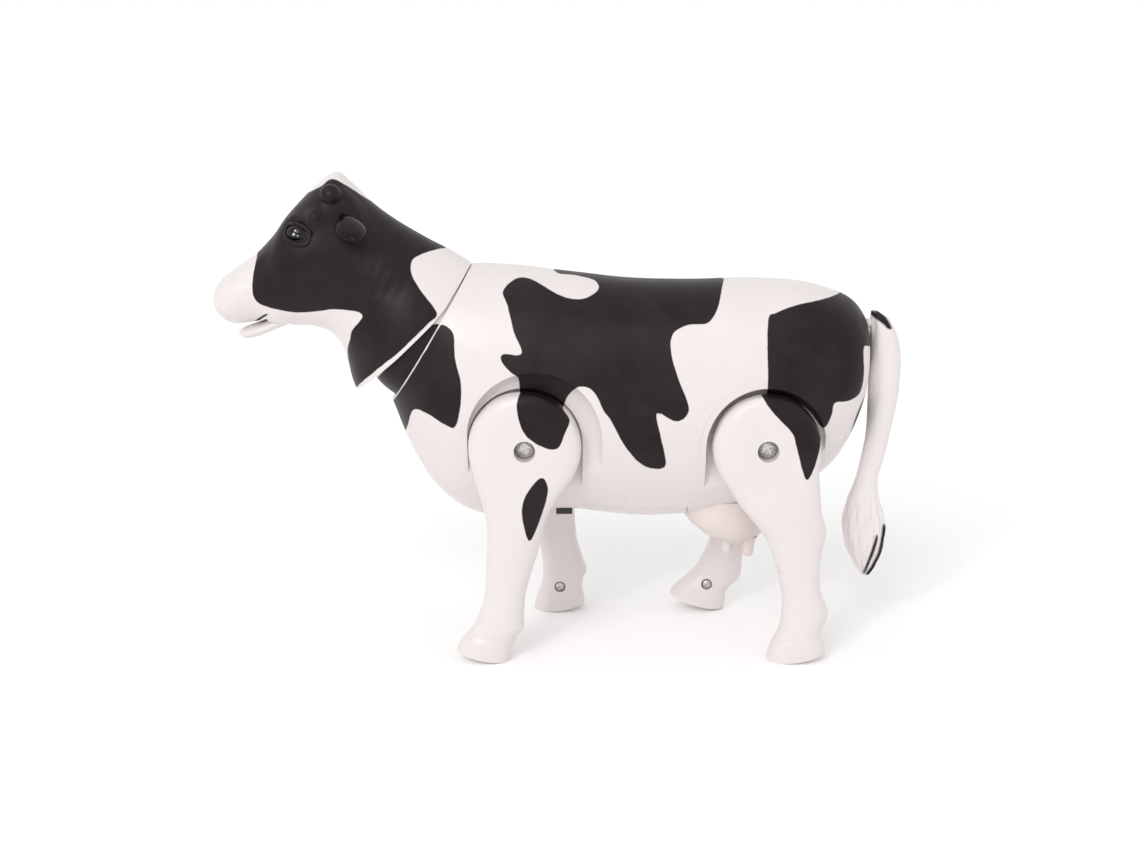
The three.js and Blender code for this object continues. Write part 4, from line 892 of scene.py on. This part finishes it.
def tube(path, sides):
    """A closed round bead along points x, y, z with its own radius at each."""
    path = np.array(path, float)
    places, radii = path[:, :3], path[:, 3]
    along = np.gradient(places, axis=0)
    along /= np.linalg.norm(along, axis=1, keepdims=True)
    up = np.cross(along, np.tile([0.0, 1.0, 0.0], (len(path), 1)))
    up /= np.maximum(np.linalg.norm(up, axis=1, keepdims=True), 1e-6)
    side = np.cross(along, up)
    angle = 2 * np.pi * np.arange(sides) / sides
    ring = up[:, None, :] * np.cos(angle)[None, :, None] + side[:, None, :] * np.sin(angle)[None, :, None]
    points = places[:, None, :] + ring * radii[:, None, None]
    return new_object("bead", points.reshape(-1, 3), grid_faces(len(path) - 1, sides))


def horn_bud():
    profile = [(0, -3), (4.6, -2.6), (4.7, 0), (4.4, 1.6), (3.8, 3), (2.8, 4.1), (1.5, 4.7), (0, 4.9)]
    bud = turned(spline(profile, np.linspace(0, 1, 40)), 48, "Z")
    lean = Matrix.Rotation(math.radians(-52), 4, "X") @ Matrix.Rotation(math.radians(-12), 4, "Y")
    return put(bud, HORN, lean)


def ear_form():
    """A cupped leaf with a thick rim and a peg in the head."""
    length, width, thickness = 17.5, 12.5, 7.0
    leaf = [(-0.28, 0, 0.28, 0, 0.46), (-0.42, -0.2, 0.42, -0.2, 0.5), (-0.5, -0.42, 0.5, -0.42, 0.46),
            (-0.46, -0.64, 0.46, -0.64, 0.38), (-0.3, -0.84, 0.3, -0.84, 0.28), (-0.1, -1, 0.1, -1, 0.1)]
    sized = [(a * width, b * length, c * width, d * length, e * thickness) for a, b, c, d, e in leaf]
    hollow = [(a * 0.66, b * 0.82 - 2.6, c * 0.66, d * 0.82 - 2.6, e * 0.75, -0.42 * thickness)
              for a, b, c, d, e in sized]
    ear = cut(skin(sized, 96, 70, soften=4), skin(hollow, 72, 50, soften=4))
    ear = joined(ear, turned([(2, -4), (2, 4)], 32, "Z"))
    lean = Matrix.Rotation(-0.4, 4, "Z") @ Matrix.Rotation(math.radians(72), 4, "X")
    return put(ear, EAR, lean @ Matrix.Rotation(0.1, 4, "Z"))


def make_head():
    right = head_half()
    ball, lids = eye_pieces(right)
    right = joined(right, lids, horn_bud())
    pieces = [placed(thing, 0, NECK[0], NECK[1] + HIP_Z) for thing in (right, ear_form(), ball)]
    mirrored = [placed(copied(thing), mirror=True) for thing in pieces]
    for (half, ear, eye), side in ((mirrored, "left"), (pieces, "right")):
        # The head's black patch and the black dot of painted shade at the mouth corner.
        paint(half, [HEAD_PATCH, MOUTH_CORNER_SHADE])
        finished(half, "head_case_" + side, "head", ["head_" + side])
        finished(ear, "ear_leaf_" + side, "head", ["ear_" + side], EAR_PLASTIC)
        # Paints the light dots of painted highlight on the eyeball.
        paint(eye, EYE_PAINTED_HIGHLIGHTS, vary=False)
        finished(eye, "eye_ball_" + side, "head", [], EYE_LACQUER)
    jaw = joined(jaw_skin(0, 0), rod(3, -7.4, 7.4, *JAW_PIN))
    jaw = cut(jaw, rod(1.65, -FAR, FAR, *JAW_PIN))
    placed(jaw, 0, NECK[0], NECK[1] + HIP_Z)
    paint(jaw, [HEAD_PATCH], vary=False)
    finished(jaw, "jaw_case", "jaw", ["lower_jaw"])


# Legs

def hip_stations(r):
    """Sections down the round hip, to where the leg leaves it. Its top is slim and lies to the outside."""
    rows = []
    for degrees in (86, 75, 61, 43, 20, 0, -20):
        x, z = r * math.cos(math.radians(degrees)), r * math.sin(math.radians(degrees))
        slim = max(0.0, z / r) ** 8
        rows.append((-x, z, x, z, 8.3 - 5.2 * slim, 2.6 * slim, 1.8 * (1 - slim)))
    return rows


LEG_RELIEF = [
    (9, 33, -70, 5, 9, 7, 0.5), (0, 41, -58, 6, 4, 14, 0.3), (3, 41, -38, 9, 4, 12, 0.4),
    (-3, 41, -83.5, 14, 5, 1.3, -0.35), (12, 33, -78, 3, 5, 2.5, 0.6),
]


def leg_relief(points):
    low = np.clip((-84 - points[:, 2]) / 3, 0, 1)
    cleft = np.exp(-((points[:, 1] - LEG_MIDDLE) / 0.9) ** 2)
    return bumps(points, LEG_RELIEF) - 0.9 * cleft * low * (points[:, 0] < 0)


def leg_form(hip):
    """Outer and inner halves of a right-hand leg that hangs straight from the hip."""
    raised = [s[:5] + (LEG_MIDDLE + s[5],) + s[6:] for s in hip_stations(hip.disc) + hip.form]
    foot = (0, -FOOT_SCREW_DROP)
    limb = skin(raised, 128, 210, top=2.3, bottom=2.3, soften=4, relief=leg_relief)
    down, half_sole = -0.5 * math.pi, 0.9
    sole = arc(0, SOLE_RADIUS - LEG_LENGTH, SOLE_RADIUS, down - half_sole, down + half_sole, 160)
    limb = kept(limb, plate(sole + [(60, 40), (-60, 40)], 0, FAR))
    core = skin(raised, 64, 90, LEG_WALL, first=0.14, last=0.91, top=2.3, bottom=2.3)
    core = cut(core, rod(7.5, 0, FAR), rod(3.4, 0, FAR, *foot))
    limb = cut(limb, core, rod(HIP_POST_R + RUN, 0, FAR),
               rod(4.45, LEG_OUTER - HIP_SCREW_SINK, FAR, sides=64), rod(2.5, 0, LEG_INNER + 2.7, *foot),
               rod(1.4, 0, LEG_OUTER - 4, *foot))
    outer = kept(copied(limb), block(-FAR, FAR, LEG_MIDDLE + GAP / 2, FAR, -2 * FAR, FAR))
    inner = kept(limb, block(-FAR, FAR, 0, LEG_MIDDLE - GAP / 2, -2 * FAR, FAR))
    inner = joined(inner, rod(LINK_PIN_R, 17.4, LEG_INNER + 2.2, 0, hip.link))
    if hip.label == "front":
        slot = slot_outline(-1.55, 1.55, CRANK_LIFT - CRANK_REACH, CRANK_LIFT + CRANK_REACH)
        inner = cut(inner, plate(slot, LEG_INNER - 1, LEG_INNER + 3.2))
    return outer, inner


def make_legs():
    for hip in HIPS:
        x, near, far, patches = hip.x, hip.near, hip.far, hip.patches
        for half, part in zip(leg_form(hip), ("outer", "inner")):
            left = placed(copied(half), near, x, HIP_Z, mirror=True)
            paint(left, patches if part == "outer" else patches[:1], vary=False)
            right = placed(placed(copied(left), mirror=True), 0, -x, -HIP_Z)
            placed(right, far - near, x, HIP_Z)
            for leg, side in ((left, "left"), (right, "right")):
                name = f"{hip.label}_{side}_leg"
                finished(leg, f"{name}_{part}_case", name, [f"{name}_{part}"])
            bpy.data.objects.remove(half)


# Tail and udder

def tail_relief(points):
    low = np.clip((-26 - points[:, 2]) / 12, 0, 1)
    turn = np.arctan2(points[:, 1], points[:, 0] - 133)
    strands = np.sin(turn * 11 + points[:, 2] / 5.5) + 0.6 * np.sin(turn * 19 - points[:, 2] / 3.7 + 1)
    top = np.exp(-((points[:, 2] - 44) / 5) ** 2)
    return 0.34 * strands * low + 0.25 * top * np.sin(turn * 9)


def make_tail():
    tail = skin(TAIL, 200, 240, soften=4, relief=tail_relief)
    tail = joined(tail, peg(2, 120, 134), peg(4.2, 119.2, 121))
    placed(tail, 0, 0, HIP_Z)
    paint(tail, TAIL_PATCHES, vary=False)
    finished(tail, "tail_case", "tail", ["tail"], material=TAIL_PLASTIC)


def udder_relief(points):
    rings = np.exp(-((points[:, 2] + 41.5) / 0.7) ** 2) + 0.7 * np.exp(-((points[:, 2] + 46) / 0.6) ** 2)
    middle = np.exp(-(points[:, 1] / 1.2) ** 2) * (points[:, 2] < -38)
    return 0.22 * rings - 0.35 * middle


TEAT = [(3.4, 3), (2.6, 1.4), (2.25, 0), (2.15, -1.4), (2, -2.8), (1.4, -3.9), (0.7, -4.35), (0, -4.4)]


def make_udder():
    bag = skin(UDDER, 120, 90, soften=4, relief=udder_relief)
    for x, stretch in ((72.5, 1.0), (81.5, 1.25)):
        profile = spline(TEAT, np.linspace(0, 1, 30)) * stretch
        for side in (-1, 1):
            bag = joined(bag, turned(profile, 36, "Z", (x, side * 5.2, -50.6)))
    bag = cut(bag, torso_skin(160, 130, SUNK))
    placed(bag, 0, 0, HIP_Z)
    finished(bag, "udder_bag", "torso", ["udder"], UDDER_PLASTIC)


# Screws, made by a node tree that sets one on each point

HIP_SCREW = {"Head Radius": 4.1, "Head Height": 2.2, "Shank Radius": 1.3, "Shank Length": 11}
FOOT_SCREW = {"Head Radius": 2.2, "Head Height": 1.6, "Shank Radius": 1.1, "Shank Length": 9}


def screw_tree():
    labels = ["Geometry", *HIP_SCREW, "Lean", "Finish"]
    tree, given, result = group_start("Cross Screw", labels, ["Geometry"], "GeometryNodeTree")
    radius, height, shank_radius, shank_length = (given[label] for label in HIP_SCREW)

    def made(kind, inputs=None, **values):
        return node(tree, kind, inputs, **values).outputs[0]

    def times(a, b):
        return maths(tree, "MULTIPLY", a, b)

    def vector(x, y, z):
        return made("ShaderNodeCombineXYZ", {0: x, 1: y, 2: z})

    def moved(geometry, offset=None, scale=None):
        return made("GeometryNodeTransform", {"Geometry": geometry, "Translation": offset, "Scale": scale})

    def brick(x, y, z, lift):
        return moved(made("GeometryNodeMeshCube", {"Size": vector(x, y, z)}), lift)

    def carved(operation, first, second):
        return made("GeometryNodeMeshBoolean", {0: first, 1: second}, operation=operation, solver="EXACT")

    ball = made("GeometryNodeMeshUVSphere", {"Segments": 48, "Rings": 24, "Radius": 1.0})
    dome = moved(ball, scale=vector(radius, radius, height))
    wide = times(radius, 3.0)
    upper = brick(wide, wide, wide, vector(0, 0, times(wide, 0.5)))
    head = carved("INTERSECT", None, [dome, upper])
    arm, thin, lift = times(radius, 1.3), times(radius, 0.24), vector(0, 0, times(height, 0.75))
    cross = [brick(arm, thin, height, lift), brick(thin, arm, height, lift)]
    head = carved("DIFFERENCE", head, cross)
    shank = made("GeometryNodeMeshCylinder", {"Vertices": 24, "Radius": shank_radius, "Depth": shank_length})
    shank = moved(shank, vector(0, 0, times(shank_length, -0.5)))
    whole = made("GeometryNodeJoinGeometry", {"Geometry": [head, shank]})
    aim = node(tree, "GeometryNodeInputNamedAttribute", {"Name": "aim"}, data_type="FLOAT_VECTOR")
    facing = made("FunctionNodeAlignRotationToVector", {"Vector": aim.outputs["Attribute"]}, axis="Z")
    angle = sloped(tree, made("GeometryNodeInputIndex"), 0.9, given["Lean"])
    turn = made("FunctionNodeAxisAngleToRotation", {"Axis": (0, 0, 1), "Angle": angle})
    spun = {"Rotation": facing, "Rotate By": turn}
    facing = made("FunctionNodeRotateRotation", spun, rotation_space="LOCAL")
    place = {"Points": given["Geometry"], "Instance": whole, "Rotation": facing}
    real = made("GeometryNodeRealizeInstances", {"Geometry": made("GeometryNodeInstanceOnPoints", place)})
    coat = made("GeometryNodeSetMaterial", {"Geometry": real, "Material": given["Finish"]})
    feed(tree, result["Geometry"], coat)
    return tree


CROSS_SCREW = screw_tree()


def screws(name, body, nodes, rows, sizes, lean):
    """One screw on each row of x, y, z and the side it faces. They replace the CAD nodes named."""
    mesh = bpy.data.meshes.new(name)
    mesh.from_pydata([(x * MM, y * MM, z * MM) for x, y, z, side in rows], [], [])
    aim = mesh.attributes.new("aim", "FLOAT_VECTOR", "POINT")
    for item, row in zip(aim.data, rows):
        item.vector = (0, row[3], 0)
    thing = linked(name, mesh)
    made = thing.modifiers.new("screws", "NODES")
    made.node_group = CROSS_SCREW
    given = {label: size * MM for label, size in sizes.items()} | {"Lean": lean, "Finish": ZINC}
    for item in CROSS_SCREW.interface.items_tree:
        if item.in_out == "INPUT" and item.name in given:
            made[item.identifier] = given[item.name]
    finished(applied(thing), name, body, nodes, ZINC)


def make_screws():
    seat = LEG_OUTER - HIP_SCREW_SINK + 0.4
    rows, nodes = [], []
    for hip in HIPS:
        for side, sign, turn in (("left", -1, hip.near), ("right", 1, hip.far)):
            leg = f"{hip.label}_{side}"
            rows.append((hip.x, sign * seat, HIP_Z, sign))
            nodes.append(leg + "_hip_screw")
            foot = (hip.x - FOOT_SCREW_DROP * math.sin(turn), sign * (LEG_INNER + 2.4),
                    HIP_Z - FOOT_SCREW_DROP * math.cos(turn), -sign)
            screws(leg + "_foot_screw_head", leg + "_leg", [leg + "_foot_screw"], [foot], FOOT_SCREW, 0.4)
    screws("hip_screw_heads", "torso", nodes, rows, HIP_SCREW, 0.3)


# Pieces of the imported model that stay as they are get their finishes

KEPT_NODES = {
    STEEL: "neck_pin jaw_pin crank_shaft first_gear_pin second_gear_pin motor_can motor_rotor",
    NYLON: "crank_gear crank_left crank_right first_gear second_gear motor_pinion neck_arm link_left "
           "link_right",
    FRAME_PLASTIC: "gear_plate_left gear_plate_right battery_box switch_body",
    ZINC: "contact_front contact_rear",
    KNOB_PLASTIC: "power_knob",
    CELL_FILM: "battery_left battery_right",
}


def dress_kept_nodes():
    for material, names in KEPT_NODES.items():
        for name in names.split():
            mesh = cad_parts[name].data
            mesh.materials.clear()
            mesh.materials.append(material)


# Stage

FLOOR_REACH = 3000
FLOOR_GLOW = 0.08
WORLD_LIGHT = 0.82


def seen_rays(tree):
    """One for the rays that see or mirror the background, zero for those that light the toy."""
    rays = node(tree, "ShaderNodeLightPath")
    mirrored = maths(tree, "ADD", rays.outputs["Is Glossy Ray"], rays.outputs["Is Transmission Ray"])
    return maths(tree, "ADD", rays.outputs["Is Camera Ray"], mirrored, clamp=True)


def make_stage():
    r = FLOOR_REACH
    floor = new_object("floor", [(-r, -r, 0), (r, -r, 0), (r, r, 0), (-r, r, 0)], [(0, 1, 2, 3)])
    material, tree = start_material("Pale Floor", Base_Color=(0.985, 0.982, 0.982), Roughness=0.9,
                                    Specular_IOR_Level=0.0, Emission_Color=(1, 1, 1))
    shade(tree, Emission_Strength=maths(tree, "MULTIPLY", seen_rays(tree), FLOOR_GLOW))
    floor.data.materials.append(material)
    world = bpy.data.worlds.new("Soft Studio")
    world.use_nodes = True
    tree = world.node_tree
    light = tree.nodes["Background"]
    feed(tree, light.inputs["Color"], (1, 1, 1))
    feed(tree, light.inputs["Strength"], WORLD_LIGHT)
    backdrop = node(tree, "ShaderNodeBackground", {"Color": (1, 1, 1)})
    inputs = {0: seen_rays(tree), 1: light.outputs[0], 2: backdrop.outputs[0]}
    choice = node(tree, "ShaderNodeMixShader", inputs)
    feed(tree, tree.nodes["World Output"].inputs["Surface"], choice.outputs[0])
    bpy.context.scene.world = world
    add_lamp("sky", "SUN", (-0.4, -0.9, 0.88), 0.74).angle = math.radians(30)
    add_lamp("window", "AREA", (-0.42, -0.95, 0.62), 1.3).size = 0.06


def add_lamp(name, kind, place, power):
    """A lamp that shines from its place to the toy."""
    lamp = bpy.data.lights.new(name, kind)
    lamp.energy = power
    light = linked(name, lamp)
    light.location = place
    light.rotation_euler = (Vector((0, 0, 0.1)) - Vector(place)).to_track_quat("-Z", "Y").to_euler()
    return lamp


def make_camera():
    lens = bpy.data.cameras.new("view")
    lens.sensor_width = FILM_WIDTH
    lens.lens = FILM_WIDTH * VIEW_DISTANCE / VIEW_WIDTH
    lens.clip_start = 0.01
    lens.clip_end = 100
    camera = linked("view", lens)
    back = Vector(VIEW_BACK)
    camera.location = Vector(VIEW_TARGET) * MM + back * VIEW_DISTANCE * MM
    camera.rotation_euler = back.to_track_quat("Z", "Y").to_euler()
    bpy.context.scene.camera = camera


make_camera()
make_torso()
make_collar()
make_head()
make_legs()
make_tail()
make_udder()
make_screws()
dress_kept_nodes()
make_stage()
bpy.context.scene.view_settings.view_transform = "Standard"
